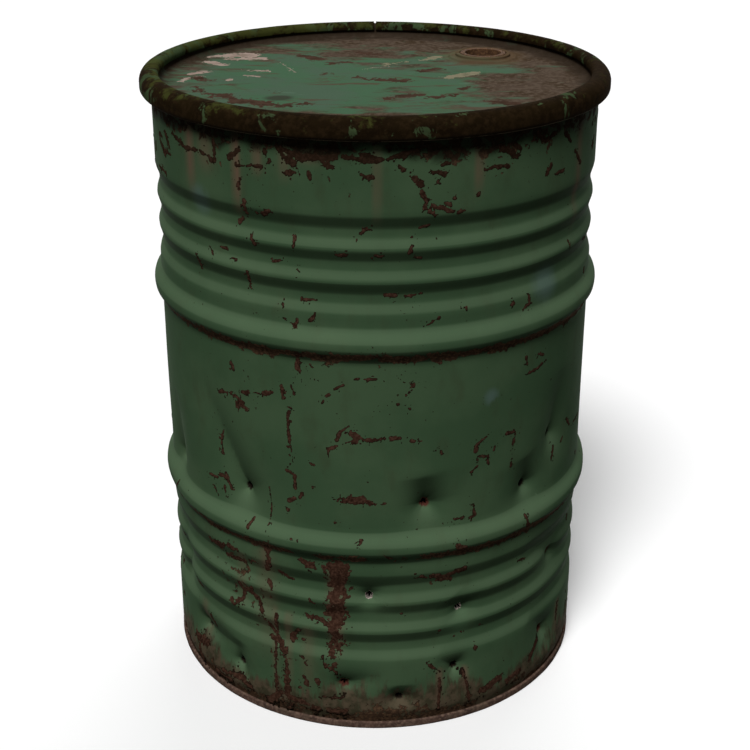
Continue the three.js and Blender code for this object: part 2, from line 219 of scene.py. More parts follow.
class Finish:
    # a new material, with the patterns that its colours are made of
    def __init__(self, name):
        self.material = bpy.data.materials.new(name)
        self.material.use_nodes = True
        self.tree = self.material.node_tree
        self.tree.nodes.clear()
        self.place = self.add("TexCoord").node.outputs["Object"]

    def add(self, kind, *values, **settings):
        return addNode(self.tree, kind, *values, **settings)

    def grain(self, size, detail=4.0, roughness=0.55, stretch=(1, 1, 1), distortion=0.0):
        # ragged values around 0.5, with features of about size mm that are stretched along the axes
        place = self.add("Mapping", self.place, [1 / s for s in stretch])
        return self.add("TexNoise", place, 1 / (size * mm), detail, roughness, distortion)

    def tint(self, colour, mask, strength, over):
        # a colour with another laid over it where the mask says, and never more strongly than this
        return self.add("Mix", self.add("Math MULTIPLY", mask, strength), colour, over)

    def awayFrom(self, shift, scale=(1, 1, 1)):
        # how far a place is from the drum's origin in metres, once it is scaled and then shifted
        moved = self.add("Mapping", self.place, scale, shift)
        return self.add("VectorMath LENGTH", moved).node.outputs["Value"]

    def channels(self, name):
        # the five values that a piece's points can carry under this name
        reader = self.add("Attribute", attribute_name=name).node.outputs
        split = self.add("SeparateColor", reader["Color"]).node.outputs
        return split["Red"], split["Green"], split["Blue"], reader["Alpha"], reader["Fac"]

    def finish(self, colour, roughness, bumps, metallic=0.0, specular=0.3):
        # bumps are pairs of a height value and its height in mm
        normal = None
        for height, depth in bumps:
            normal = self.add("Bump", 1.0, depth * mm, height, normal)
        shader = self.add("BsdfPrincipled", colour, roughness, metallic, specular, normal)
        self.add("OutputMaterial", shader)
        return self.material


# Camera and light

camera = dict(place=(0, -1.8594, 1.2150), pitch=66.044, lens=69.38)


def photographersView():
    lens = bpy.data.cameras.new("camera")
    lens.lens = camera["lens"]
    holder = bpy.data.objects.new("camera", lens)
    holder.location = camera["place"]
    holder.rotation_euler = (math.radians(camera["pitch"]), 0, 0)
    bpy.context.collection.objects.link(holder)
    bpy.context.scene.camera = holder


studio = dict(
    # angle from the front, height above the horizon and width in the sky in degrees, and how brightly
    # each lights a white card that faces it
    lamps={"key": (-15, 56, 22, 1.0), "back": (168, 34, 40, 0.3)},
    ambient=0.055,
    floorSize=60,
    floorSeen="#ffffff",
    floorLit="#606060",
)


def seenDirectly(tree):
    # 1 for the camera's rays and for what gloss and glass show, 0 for light on its way to a surface
    path = addNode(tree, "LightPath").node.outputs
    either = addNode(tree, "Math MAXIMUM", path["Is Camera Ray"], path["Is Glossy Ray"])
    return addNode(tree, "Math MAXIMUM", either, path["Is Transmission Ray"])


def studioRoom():
    for name, (angle, elevation, width, brightness) in studio["lamps"].items():
        lamp = bpy.data.lights.new(name, "SUN")
        lamp.angle = math.radians(width)
        lamp.energy = math.pi * brightness
        holder = bpy.data.objects.new(name, lamp)
        holder.rotation_euler = (math.radians(90 - elevation), 0, math.radians(angle))
        bpy.context.collection.objects.link(holder)
    world = bpy.data.worlds.new("studio")
    world.use_nodes = True
    world.node_tree.nodes.clear()
    tree = world.node_tree
    level = addNode(tree, "MapRange", seenDirectly(tree), 0, 1, studio["ambient"])
    addNode(tree, "OutputWorld", addNode(tree, "Background", "#ffffff", level))
    bpy.context.scene.world = world
    # the floor looks pale, but throws back only as much light as a grey one
    half = studio["floorSize"] / 2
    mesh = bpy.data.meshes.new("floor")
    mesh.from_pydata([(-half, -half, 0), (half, -half, 0), (half, half, 0), (-half, half, 0)], [],
                     [(0, 1, 2, 3)])
    paper = Finish("pale matt paper")
    colour = paper.add("Mix", seenDirectly(paper.tree), studio["floorLit"], studio["floorSeen"])
    floor = linked("floor", mesh, paper.finish(colour, 1.0, [], specular=0.0))
    bpy.context.scene.view_settings.view_transform = "Standard"


# Body: one rolled sheet of steel with its hoops, grooves, dents, bullet holes and top curl

body = dict(
    radius=287.0, sheet=1.2,
    neck=283.0, neckLow=10.3, neckTop=25.0,
    hookFace=284.8, hookFloor=2.7, hookEnd=8.0,
    hoopHeights=(277.0, 552.5), hoopProud=9.7, hoopWidth=40.0,
    # shares of a hoop's width from its middle, and of its height
    hoopShape=((-0.5, 0), (-0.34, 0.45), (-0.18, 0.92), (0, 1), (0.18, 0.92), (0.34, 0.45), (0.5, 0)),
    grooveTops=(236.0, 712.0), groovePitches=(43.0, 40.0), grooveCount=3, grooveShare=0.96,
    grooveFloor=(0.36, 0.64), grooveDepth=4.5, softness=1.3, curveStep=0.5,
    curlCentre=(291.3, 809.3), curlRadius=4.3, curlEnd=-120,
    columns=240, frontCrowding=0.25, rows=152, bendCrowding=0.9, wallTop=806.0,
    waviness=0.35,
)
perDegree = math.radians(body["radius"])    # mm along the wall for each degree round the drum

# angle, height, depth, reach, end of the tail (angle, height), and what is left of the sheet:
# a hole with fresh bright edges, one with red rust, an old dark one, or no hole
dents = [
    (-36.5, 330, 15, 34, (-51, 478), "old"),
    (13, 333, 13, 30, (12, 378), "red"),
    (44, 323, 12, 28, (42, 370), "old"),
    (56, 376, 13, 30, (57, 470), "old"),
    (-70, 316, 14, 30, (-67, 420), "old"),
    (-1.5, 202, 6, 17, (-1.5, 225), "fresh"),
    (23.5, 168, 8, 20, (20, 192), "fresh"),
    (60, 186, 12, 26, (44, 228), "red"),
    (-68, 142, 10, 22, (-68, 235), None),
    (-57, 77, 13, 24, (-38, 80), "old"),
    (-41, 54, 10, 22, (-40, 95), "old"),
    (-8.5, 66, 8, 18, (4, 84), "red"),
    (6.5, 44, 9, 22, (6, 66), "old"),
    (22, 82, 8, 18, (16, 100), "old"),
    (56.5, 69, 12, 24, (47, 112), "red"),
]
dentSharpness = 1.3    # 1 is a cone, 2 a smooth bowl
hole = dict(radius=4.3, ragged=0.28, rollIn=4.5, rollReach=5.5, window=4, rings=8, closing=1.7,
            lipRings=3, lipDepth=1.5, lipClosing=0.16, petals=5, tintReach=3.2,
            # how much bright steel, red rust and old dirt there is round each kind of hole
            tints={"fresh": (1, 0.25, 0.2), "red": (0.15, 1, 0.2), "old": (0.1, 0.35, 0.6)})


def rolledProfile():
    # straight wall with hoops out and grooves in, every bend softened as rolls leave it.
    # Returns closely spaced heights and the radius at each.
    knots = [(0, body["radius"])]
    for top, pitch in zip(body["grooveTops"], body["groovePitches"]):
        width = pitch * body["grooveShare"]
        for low in (top - pitch * k for k in range(body["grooveCount"], 0, -1)):
            bottom = body["radius"] - body["grooveDepth"]
            knots.append((low, body["radius"]))
            knots += [(low + share * width, bottom) for share in body["grooveFloor"]]
        knots.append((top, body["radius"]))
    for middle in body["hoopHeights"]:
        for along, out in body["hoopShape"]:
            knots.append((middle + along * body["hoopWidth"], body["radius"] + out * body["hoopProud"]))
    knots = np.array(sorted(knots))
    step = body["curveStep"]
    heights = np.arange(-20, 860, step)
    radii = np.interp(heights, knots[:, 0], knots[:, 1])
    spread = np.arange(-8, 8 + step, step)
    kernel = np.exp(-(spread / body["softness"]) ** 2 / 2)
    return heights, np.convolve(np.pad(radii, len(spread) // 2, "edge"), kernel / kernel.sum(), "valid")


profile = rolledProfile()


def wallRows():
    # heights of the grid's rows, which crowd together where the wall is hooped or grooved
    heights, radii = profile
    bent = np.abs(radii - body["radius"]) > 0.05
    crowding = 1 + body["bendCrowding"] * np.convolve(bent, np.ones(21) / 21, "same")
    within = (heights >= body["neckTop"]) & (heights <= body["wallTop"])
    way = np.cumsum(crowding[within])
    return np.interp(np.linspace(way[0], way[-1], body["rows"]), way, heights[within])


def dentDepth(angle, height):
    # a dent fades from the line between its deepest point and its tail as
    # exp(-(distance / reach) ** sharpness), and the line itself fades towards the tail's end
    total = np.zeros(np.broadcast(angle, height).shape)
    for middle, level, depth, reach, (tailAngle, tailHeight), _ in dents:
        u, v = (angle - middle) * perDegree, height - level
        tailU, tailV = (tailAngle - middle) * perDegree, tailHeight - level
        share = np.clip((u * tailU + v * tailV) / (tailU ** 2 + tailV ** 2), 0, 1)
        distance = np.hypot(u - tailU * share, v - tailV * share)
        total += depth * (1 - share) * np.exp(-(distance / reach) ** dentSharpness)
    return total * ramp(height, body["neckTop"], body["neckTop"] + 15)


def wallRadius(angle, height):
    # the outside of the dented and slightly uneven wall
    uneven = fractal(angle * 5, height, 90, 3) * ramp(height, 25, 60) * ramp(height, 800, 770)
    return np.interp(height, *profile) - dentDepth(angle, height) + body["waviness"] * uneven


def wallPoint(angle, height, proud=0.0):
    return around(wallRadius(angle, height) + proud, angle, height)


def leanAt(angle, height):
    # how the wall leans: above 0 where it overhangs and below 0 where it faces the sky. The enamel
    # uses it for painted shade on the overhangs and painted light on the slopes that face the sky
    lean = (wallRadius(angle, height + 1.5) - wallRadius(angle, height - 1.5)) / 3
    return np.clip(lean * ramp(height, 22, 30) * ramp(height, 806, 800), -1, 1)


grimeAndShade = dict(
    fine=(28, 11), coarse=(90, 12), stretch=0.3,    # cell in mm and seed of the noises that spread it
    # the height where each starts and where it is full, how many mm the fine and the coarse noise
    # shift these, and how strong it is
    rustUnderRing=(760, 797, 14, 16, 0.64), rustAtFoot=(46, 8, 16, 22, 0.8),
    # the first of these is painted shade under the ring, the second mud at the foot
    shadeUnderRing=(772, 797, 16, 10, 1), mudAtFoot=(96, 16, 22, 34, 1),
    # how far a line of rust and one of painted shade lie under a hoop's middle, how wide they are,
    # and how strong the painted shade is
    rustLine=15, rustWidth=8, shadeLine=21, shadeWidth=5, shadeStrength=0.3,
)


def wearAndShadeAt(angle, height):
    # how far rust, painted shade, mud and drips have spread at a place on the wall, each from 0 to 1.
    # The painted shade lies under the ring and below each hoop
    across = angle * perDegree
    ragged = fractal(across, height, *grimeAndShade["fine"])
    wide = fractal(across, height * grimeAndShade["stretch"], *grimeAndShade["coarse"])

    def fading(name):
        start, full, fineShift, coarseShift, strength = grimeAndShade[name]
        return strength * ramp(height + fineShift * ragged + coarseShift * wide, start, full)

    rust = np.maximum(fading("rustUnderRing"), fading("rustAtFoot"))
    # the second value is painted shade under the ring
    paintedShade, mud, drips = fading("shadeUnderRing"), fading("mudAtFoot"), np.zeros_like(rust)
    # under each hoop a line of rust and a line of painted shade
    for level in body["hoopHeights"]:
        fromRust = (level - height - grimeAndShade["rustLine"] - 3 * wide) / (grimeAndShade["rustWidth"] + 4 * ragged)
        fromShade = (level - height - grimeAndShade["shadeLine"] + 3 * ragged) / grimeAndShade["shadeWidth"]
        rust = np.maximum(rust, np.exp(-fromRust ** 2) * ramp(wide, -1.0, -0.3))
        paintedShade = np.maximum(paintedShade, grimeAndShade["shadeStrength"] * np.exp(-fromShade ** 2))
    for middle, level, reach, strength in rustBreaks:
        away = np.hypot((angle - middle) * perDegree, height - level) / reach
        rust = np.maximum(rust, strength * np.exp(-away ** 4))
    for middle, top, bottom, width, strength in wallDrips:
        side = np.exp(-((angle - middle) * perDegree / width) ** 2)
        run = ramp(height, bottom, bottom + 0.5 * (top - bottom)) * ramp(height, top + 6, top - 6)
        drips = np.maximum(drips, strength * side * run)
    return np.stack([rust, paintedShade, mud, drips], -1)


# where rust breaks through the paint: angle, height, reach in mm, strength
rustBreaks = [(-40, 205, 48, 0.36), (-33, 160, 45, 0.3), (-26, 90, 40, 0.28), (-20, 50, 30, 0.3),
              (-38, 755, 40, 0.24), (-8, 762, 45, 0.22), (36, 760, 40, 0.2), (15, 210, 30, 0.2)]

# pinkish-brown water stains: angle, top, bottom, half width, strength
wallDrips = [
    (-34.0, 800, 690, 5, 1.0), (-50.0, 800, 700, 8, 0.8), (0.5, 795, 690, 4, 0.5),
    (24.5, 800, 720, 5, 0.7), (-21.0, 800, 740, 7, 0.5), (60.0, 800, 640, 7, 0.6),
    (-27.2, 170, 20, 3, 0.6), (-23.5, 165, 20, 5, 0.45), (-10.2, 250, 90, 8, 0.8),
    (17.4, 84, 20, 4, 0.9), (25.0, 78, 20, 4, 0.9), (64.0, 100, 25, 6, 0.7),
    (-56.0, 120, 25, 8, 0.4), (-30.0, 258, 200, 7, 0.5), (-30.0, 250, 60, 16, 0.25),
    (-38.0, 235, 140, 9, 0.3), (-18.0, 150, 30, 9, 0.3), (-44.0, 800, 730, 14, 0.5),
    (-28.0, 790, 745, 6, 0.7), (-15.0, 795, 765, 16, 0.5),
    (118.0, 800, 700, 6, 0.8), (140.0, 260, 120, 7, 0.8), (171.0, 800, 610, 6, 0.7),
    (-150.0, 800, 690, 7, 0.8), (-118.0, 530, 430, 6, 0.6), (-95.0, 800, 720, 6, 0.7),
    (-135.0, 140, 30, 7, 0.8), (98.0, 120, 30, 6, 0.8),
]


def tornRings(number, middle, level, u, v):
    # rings from a window's edge, u and v mm from the hole's middle, in to the torn rim and its lips.
    # Returns each point's angle, height and radius, and how near it is to the rim, from 0 to 1.
    bearing = np.arctan2(v, u)
    petal = 0.5 + 0.5 * np.cos(hole["petals"] * bearing + number)
    rim = hole["radius"] * (1 + hole["ragged"] * lattice(bearing * 3, number + 0 * bearing, 1, 5))
    share = np.arange(1, hole["rings"] + 1)[:, None] / hole["rings"]
    closing = 1 - (1 - share) ** hole["closing"]
    edge = np.hypot(u, v)
    lip = np.arange(1, hole["lipRings"] + 1)[:, None]
    distance = np.concatenate([edge * (1 - closing) + rim * closing,
                               rim * (1 - hole["lipClosing"] * lip * petal)])
    behind = np.concatenate([np.zeros((hole["rings"], 1)), lip]) * hole["lipDepth"] * (0.4 + petal)
    angle = middle + distance * np.cos(bearing) / perDegree
    height = level + distance * np.sin(bearing)
    outside = np.maximum(distance - rim, 0)
    rollIn = hole["rollIn"] * np.exp(-outside / hole["rollReach"]) * ramp(distance, edge, edge * 0.8)
    return angle, height, wallRadius(angle, height) - rollIn - behind, np.exp(-outside / hole["tintReach"])


def wallPath():
    # the sheet's outside from the hook in the bottom seam to the end of the curl, as radius and
    # height, and which of its points are on the wall in between
    hook = [(body["hookFace"], body["hookEnd"]), (body["hookFace"], body["hookFloor"]),
            (body["neck"], body["hookFloor"]), (body["neck"], body["neckLow"]),
            (body["radius"], body["neckTop"])]
    foot = spaced(rounded(hook, 1.5, 3, closed=False), 4)[:-1]
    heights = wallRows()
    straight = np.stack([np.full(len(heights), body["radius"]), heights], -1)
    curl = arcPoints(*body["curlCentre"], body["curlRadius"], 180, body["curlEnd"], 14)
    return np.concatenate([foot, straight, curl]), slice(len(foot), len(foot) + len(heights))


def windowRound(row, column):
    # the quads of a square window of the wall's grid, centred on a point of it, and the numbers of
    # the points on the window's edge, once round
    half, count = hole["window"], body["columns"]
    rows = np.arange(row - half, row + half + 1)
    columns = np.arange(column - half, column + half + 1) % count
    edge = [rows[0] * count + columns[:-1], rows[:-1] * count + columns[-1],
            rows[-1] * count + columns[:0:-1], rows[:0:-1] * count + columns[0]]
    return np.ix_(rows[:-1], columns[:-1]), np.concatenate(edge)


def bodyWall(finish):
    # grid of the angle round the drum and the way along the sheet. Round each bullet hole a window
    # of the grid is swapped for rings that close from the window's edge to the torn rim, and roll in
    # behind it. Each shell is the angle, height and radius of the points of the grid or of a hole.
    turn = np.arange(body["columns"]) / body["columns"] * 2 * np.pi
    angles = np.degrees(turn - body["frontCrowding"] * np.sin(turn))
    angles = np.where(angles > 180, angles - 360, angles)
    path, onWall = wallPath()
    angle, height = np.meshgrid(angles, path[:, 1])
    radius = np.repeat(path[:, :1], body["columns"], 1)
    radius[onWall] = wallRadius(angle[onWall], height[onWall])
    shells = [(angle.ravel(), height.ravel(), radius.ravel())]
    torn = [np.zeros((angle.size, 4))]
    keep = np.ones((len(path) - 1, body["columns"]), bool)
    faces = []
    start = angle.size
    for number, (middle, level, *_, kind) in enumerate(dents):
        if not kind:
            continue
        row = onWall.start + int(np.argmin(np.abs(path[onWall, 1] - level)))
        window, edge = windowRound(row, int(np.argmin(np.abs(angles - middle))))
        keep[window] = False
        u, v = (shells[0][0][edge] - middle) * perDegree, shells[0][1][edge] - level
        *rings, near = tornRings(number, middle, level, u, v)
        shells.append([values.ravel() for values in rings])
        torn.append(np.stack([near * share for share in (*hole["tints"][kind], 1)], -1).reshape(-1, 4))
        index = np.concatenate([edge[None], start + np.arange(near.size).reshape(near.shape)])
        following = np.roll(index, -1, 1)
        faces.append(np.stack([index[:-1], following[:-1], following[1:], index[1:]], -1).reshape(-1, 4))
        start += near.size
    faces = np.concatenate([gridFaces(len(path), body["columns"])[keep.ravel()]] + faces)
    angle, height, radius = (np.concatenate(values) for values in zip(*shells))
    print("body wall", len(faces), "faces")
    meshPiece("body_wall", around(radius, angle, height), faces, finish,
              "body_shell", wall=body["sheet"],
              fields={"wear_and_shade": wearAndShadeAt(angle, height), "torn": np.concatenate(torn),
                      "lean": leanAt(angle, height)})


seamWeld = dict(angle=157.0, width=6.0, proud=0.35, sunk=0.12, wall=0.8, low=27.0, high=798.0,
                ripple=3.2)


def bodySeam(finish):
    # the flattened weld down the back: a low bead across, with ripples as long as the weld's spots
    heights = np.arange(seamWeld["low"], seamWeld["high"], seamWeld["ripple"] / 3)
    across = np.linspace(-1, 1, 9)
    height, side = np.meshgrid(heights, across, indexing="ij")
    ripple = 0.8 + 0.2 * np.sin(height / seamWeld["ripple"] * 2 * np.pi)
    proud = seamWeld["proud"] * ((1 - side ** 4) * ripple) - seamWeld["sunk"]
    angle = seamWeld["angle"] + side * seamWeld["width"] / 2 / perDegree
    faces = gridFaces(*height.shape, wrapColumns=False)
    meshPiece("body_seam_weld", wallPoint(angle, height, proud), faces, finish,
              wall=seamWeld["wall"],
              fields={"wear_and_shade": wearAndShadeAt(angle, height), "torn": np.zeros((height.size, 4)),
                      "lean": leanAt(angle, height)})


# Rust marks: each has one or more strokes, and a stroke is its half width in mm and then the angle
# and height of each point on its way. They are placed one by one as the drum shows them.

marksUnderRing = [
    [(3, -68, 758, -64, 740), (2.5, -63, 770, -60, 752)], [(2.8, -58, 774, -52, 764, -47, 766)],
    [(2.6, -46, 766, -41, 760), (2.8, -41, 784, -40.5, 762)],
    [(2.8, -36, 766, -33, 778), (2.8, -33.5, 760, -26.5, 763)], [(2.5, -26, 783, -25, 770)],
    [(4.2, -22, 787, -17, 779, -12, 779, -9, 782), (4, -21, 778, -19, 772), (4, -12, 774, -10, 770)],
    [(2.6, -7, 782, 0, 777, 6, 784, 10, 791), (2.2, -3, 785, 2, 780)], [(3.2, -33, 744, -33.5, 735)],
    [(3, -42, 758)], [(3.4, -20.6, 759, -18.2, 760)], [(2.6, -15.2, 762, -14.8, 755)],
    [(2.2, -3.4, 762, -0.4, 759)], [(2.6, 5.6, 772, 6.8, 766)], [(3.2, 8.8, 757, 10.4, 748)],
    [(2.6, 10.8, 740, 12, 729, 11.2, 721), (3, 13, 724, 16, 719, 18, 714), (2.6, 16, 727, 17.5, 722),
    (2.2, 12.6, 717, 13.8, 711), (2.2, 19.5, 712, 21, 714)], [(3.2, 13.4, 763, 15.8, 760)],
    [(2.6, 14.2, 750)], [(2.2, 15.4, 771, 17, 772)], [(2.2, 18.4, 730)], [(2.2, 24.5, 731)],
    [(2.4, 26, 759, 30, 762, 32.5, 760)], [(4, 30, 785, 33, 776, 35, 770), (3.4, 34, 786, 35.5, 778)],
    [(2.4, 45, 738, 46.5, 748)], [(2.2, 49, 735, 52, 736)], [(3.2, 41, 790, 44, 780, 47, 786)],
    [(2.6, 57.5, 755, 61, 735)], [(3, 52, 780, 55, 768)],
]

marksUpperGrooves = [
    [(3.2, -32, 717, -31.6, 704), (2.6, -33.2, 694, -34.4, 690), (2.4, -30, 708, -28.6, 706)],
    [(3, -27, 707, -25.4, 711)], [(2.2, -30.5, 676, -29.6, 668)], [(1.7, -19.1, 683, -19.2, 671)],
    [(2, -9.1, 665, -6.8, 665)], [(2, 0, 665, 1.8, 665)], [(1.6, 7.9, 668, 8.5, 677)],
    [(1.8, 9.1, 662, 10.6, 661)], [(1.6, 10.4, 697, 12.8, 700)], [(2, 8.6, 686)],
    [(1.6, -1.9, 698, -3.2, 690)], [(1.4, -4.2, 684)], [(3.2, -49.4, 630, -48.8, 620)],
    [(1.8, -45, 648, -43.4, 640)], [(1.8, -40.6, 652, -38.6, 652)], [(1.8, -36.8, 643, -35.4, 642)],
    [(2.2, -31.8, 630, -31.6, 610)], [(1.4, -25.2, 648, -22, 652)], [(1.6, -18.6, 643, -18, 640)],
    [(2.2, 2.4, 617, 7.2, 614, 11, 616)], [(1.6, -22.4, 597)], [(2, -30.4, 579)],
    [(2.2, -22.2, 581, -19.8, 574), (2.2, -19.4, 573, -18.6, 580)], [(1.8, -15.4, 582, -14.4, 588)],
    [(1.4, -17.6, 606, -14, 607)], [(1.8, 12.2, 577, 14.8, 585)], [(1.8, 22.1, 594)],
    [(2.8, 35.2, 587)], [(2.6, 38.6, 575, 41, 582, 40.4, 591)], [(1.8, 67.5, 626, 72, 622)],
    [(1.8, 57, 640, 58, 628)],
]

marksMiddle = [
    [(3.2, -18.6, 536, -19, 524), (2.4, -19, 522, -18.2, 511)], [(2.2, -38.2, 506, -37.6, 497)],
    [(1.7, -43, 459, -37, 467, -31, 474, -26, 480), (4.2, -37.4, 462, -36, 457),
    (3.6, -35.8, 455, -34, 449), (2.4, -37.4, 458, -36.6, 446)], [(3.4, -23.2, 489, -22.8, 476)],
    [(1.9, -20.7, 494, -20.1, 484)],
    [(1.8, -21.6, 460, -21.9, 438, -21.5, 420), (2.4, -21.4, 416, -21.1, 404)],
    [(1.9, -20.8, 397, -20.7, 389)], [(2.6, -22.4, 377, -20.6, 373), (2, -20.4, 371, -20.2, 354)],
    [(2.6, -18.6, 347, -19.4, 343), (2.4, -20.6, 340, -22, 333)], [(2.6, -22.6, 320)],
    [(1.4, -6.4, 447, -8.8, 438), (1.9, -8.6, 437, -9.4, 427), (2.6, -9.2, 420, -11.4, 413)],
    [(1.8, -7.4, 425, -4.4, 428), (5, -4.8, 435, -3.4, 433), (1.9, -3, 429, 1, 431, 6.6, 432),
    (2.2, -6, 436, -5.6, 438)], [(1.8, 8.9, 426, 11.6, 426)],
    [(2.6, -9.4, 348, -7.6, 344), (5.4, -6, 346, -3.2, 346), (2.6, -3, 344, 0.6, 341),
    (1.6, 0.6, 341, 2.4, 340)], [(1.4, -4.8, 510, 0.4, 511)], [(1.3, -7.6, 502, -9.8, 496)],
    [(1.1, -11.2, 489, -11.8, 486)], [(1, -12.4, 480, -12.9, 476)], [(1.6, -15.4, 523)],
    [(1.2, -14.6, 506)], [(2.4, -45.2, 336, -43, 335), (1.5, -43.4, 342, -41.4, 322)],
    [(2.2, -43.8, 321, -43.2, 308)], [(2.4, -43.6, 402, -44.6, 388), (1.4, -44.6, 384, -44, 368)],
    [(1.8, -49.2, 331, -46, 331)], [(1.4, -47.4, 317, -46, 305)], [(1.4, 15.8, 527)],
    [(1.5, 9.5, 503, 9.2, 499)], [(1.1, 8.2, 491)], [(1.6, 5.6, 477)], [(1.5, 8.3, 471)],
    [(1.2, 7.4, 489)],
    [(1.9, 40.6, 510, 41.2, 498), (1.5, 42, 487, 45, 488, 48.4, 494), (1.6, 45, 508, 48, 502)],
    [(2.4, 27.4, 414, 26, 408, 25.8, 400), (1.6, 26.4, 392, 29, 389), (1.8, 29.4, 384, 30, 372),
    (1.3, 27.4, 414, 28.8, 416)], [(2.2, 31.4, 399, 31.2, 395)],
    [(2.6, 35.2, 413, 37.4, 412), (2.6, 38, 408, 37.6, 398), (1.3, 37.4, 396, 37, 360)],
    [(1.8, 16.2, 411, 16.6, 405)], [(1.7, 57.2, 354, 55.2, 338)], [(2, 63.4, 382, 66, 368)],
    [(1.4, 60.6, 352, 62, 359)], [(2.4, 24.8, 306, 26.4, 309), (1.3, 25.7, 328, 26, 310)],
    [(1.3, 20.6, 308, 22.6, 309)], [(1.2, 24.6, 372, 26.4, 378)], [(1.5, 20.8, 380)],
    [(1, -28, 345, -27.4, 318, -28.4, 286)], [(1.3, -16, 392, -15.2, 391)], [(1.6, -15.6, 359)],
    [(1.8, -10, 312)], [(1.8, -33, 294, -34, 283)], [(2.6, -21.1, 284)], [(2.8, -3.4, 289)],
    [(4, 21, 274, 22.4, 270)], [(3.6, 42, 284, 42.6, 270)],
]

marksBelow = [
    [(4.6, -50, 229, -45.5, 231), (3.4, -44, 236, -39, 238), (4, -43.6, 220, -38, 222),
     (2.4, -36, 226, -33.4, 229)],
    [(4.6, -29, 257, -28.6, 244), (3.4, -28.2, 242, -29.4, 224), (2.6, -26, 226, -22, 218)],
    [(5, -19, 252, -16.6, 243), (2.8, -15.8, 248, -15.2, 241)],
    [(15.5, -9.9, 243, -9.9, 222), (12.5, -9.8, 222, -9.8, 206), (9, -10.2, 204, -10.2, 186),
     (11.5, -10.4, 184, -10.3, 168), (9.6, -10.2, 166, -10.3, 140), (9.4, -10.4, 140, -10.5, 124),
     (4, -11, 118, -11.1, 90)],
    [(3.4, -42.4, 154, -41, 150, -38, 164, -37.8, 176, -38.8, 186), (3, -37.6, 178, -34.8, 186),
    (3, -36, 180, -32.6, 172, -31.4, 156)], [(2.4, -29.4, 208, -28.2, 198)],
    [(2.6, -30.6, 146, -28.4, 134, -26.2, 118), (3.2, -26, 118, -24.6, 104)],
    [(4.2, -28.6, 121, -25.8, 115), (4, -22.6, 126, -20.6, 142)],
    [(2.2, -27, 158, -27.3, 96, -27.5, 20)],
    [(3, -24.4, 110, -24, 60, -23.4, 18), (5, -24.4, 64, -24.6, 38)],
    [(3.2, -18, 166, -15, 164, -12.6, 158)], [(2.4, -19.4, 128)], [(3.4, -60, 141, -57, 138)],
    [(3, -53, 101, -51, 91)], [(6.5, -62, 44, -56, 50), (4.5, -60, 30, -58, 18)],
    [(4, -47, 28, -40, 34, -36, 27), (2.6, -50, 20, -44, 20)],
    [(4.6, -29.6, 20, -26, 36), (4, -23, 34, -19.4, 30, -15.6, 25), (2.4, -12, 24, -8, 25)],
    [(3, -19.2, 72, -18.4, 61)], [(2.6, -15.6, 70, -15, 62)], [(2.2, -20.2, 54)],
    [(2.6, -19.4, 102, -18.4, 92)], [(2, -13.8, 108, -13.6, 98), (1.6, -13.6, 97, -11.6, 88)],
    [(1.1, -14.6, 45, -9.2, 44)], [(1.7, -17, 191, -15.8, 188)],
    [(2, 10.6, 233, 13.6, 229), (3.8, 14.4, 229, 18.4, 228, 23.6, 233), (2.4, 16, 222, 20, 221)],
    [(1.8, 7, 177)], [(2.6, 17.3, 145)], [(2.4, 21.6, 130)], [(1.8, 23.7, 134)], [(2.4, 27.7, 106)],
    [(1.8, 29.3, 138)], [(1.9, 42, 213, 45, 210)], [(2, 14.2, 96, 17.6, 80)],
    [(1.6, 17.4, 70, 17.2, 24)], [(1.9, 24.2, 74, 25.6, 46, 26.2, 24)],
    [(5, 30, 34, 36, 42), (4, 39, 30, 44, 36)], [(4, 48, 44, 53, 60)], [(2, 64, 96, 64, 60)],
]

scab = dict(step=1.3, proud=0.3, sunk=0.45, slope=0.7, wall=0.5)
backScab = scab | dict(step=1.7)
# noises that roughen a mark's outline: cell in mm, seed, how many mm they shift it, and how much more
# for each mm of the mark's half width. And the specks round it: cell, seed, height, how rare they are,
# and how much rarer for each mm away.
outlineNoises = [(7.5, 0, 0.6, 0.85), (3, 9, 0.9, 0.35)]
specks = dict(cell=3.6, seed=20, height=5, rarity=0.36, thinning=0.045)


def markField(u, v, strokes, seed):
    # mm inside (above 0) or outside a mark's ragged outline: the nearest stroke's half width less the
    # distance to it, roughened by a coarse and a fine fractal, and with specks of rust round it
    inside = np.full(u.shape, -99.0)
    nearest = np.full(u.shape, 99.0)
    for halfWidth, route in strokes:
        if len(route) == 1:
            route = np.concatenate([route, route + 0.01])
        for start, end in zip(route[:-1], route[1:]):
            line = end - start
            share = ((u - start[0]) * line[0] + (v - start[1]) * line[1]) / (line @ line)
            share = np.clip(share, 0, 1)
            gap = np.hypot(u - start[0] - line[0] * share, v - start[1] - line[1] * share)
            inside = np.maximum(inside, halfWidth * 0.9 - gap)
            nearest = np.minimum(nearest, np.maximum(gap - halfWidth, 0))
    widest = max(halfWidth for halfWidth, _ in strokes)
    ragged = sum((shift + widest * more) * fractal(u, v, cell, seed + offset)
                 for cell, offset, shift, more in outlineNoises)
    specked = fractal(u, v, specks["cell"], seed + specks["seed"]) - specks["rarity"]
    return np.maximum(inside + ragged, specks["height"] * (specked - specks["thinning"] * nearest))


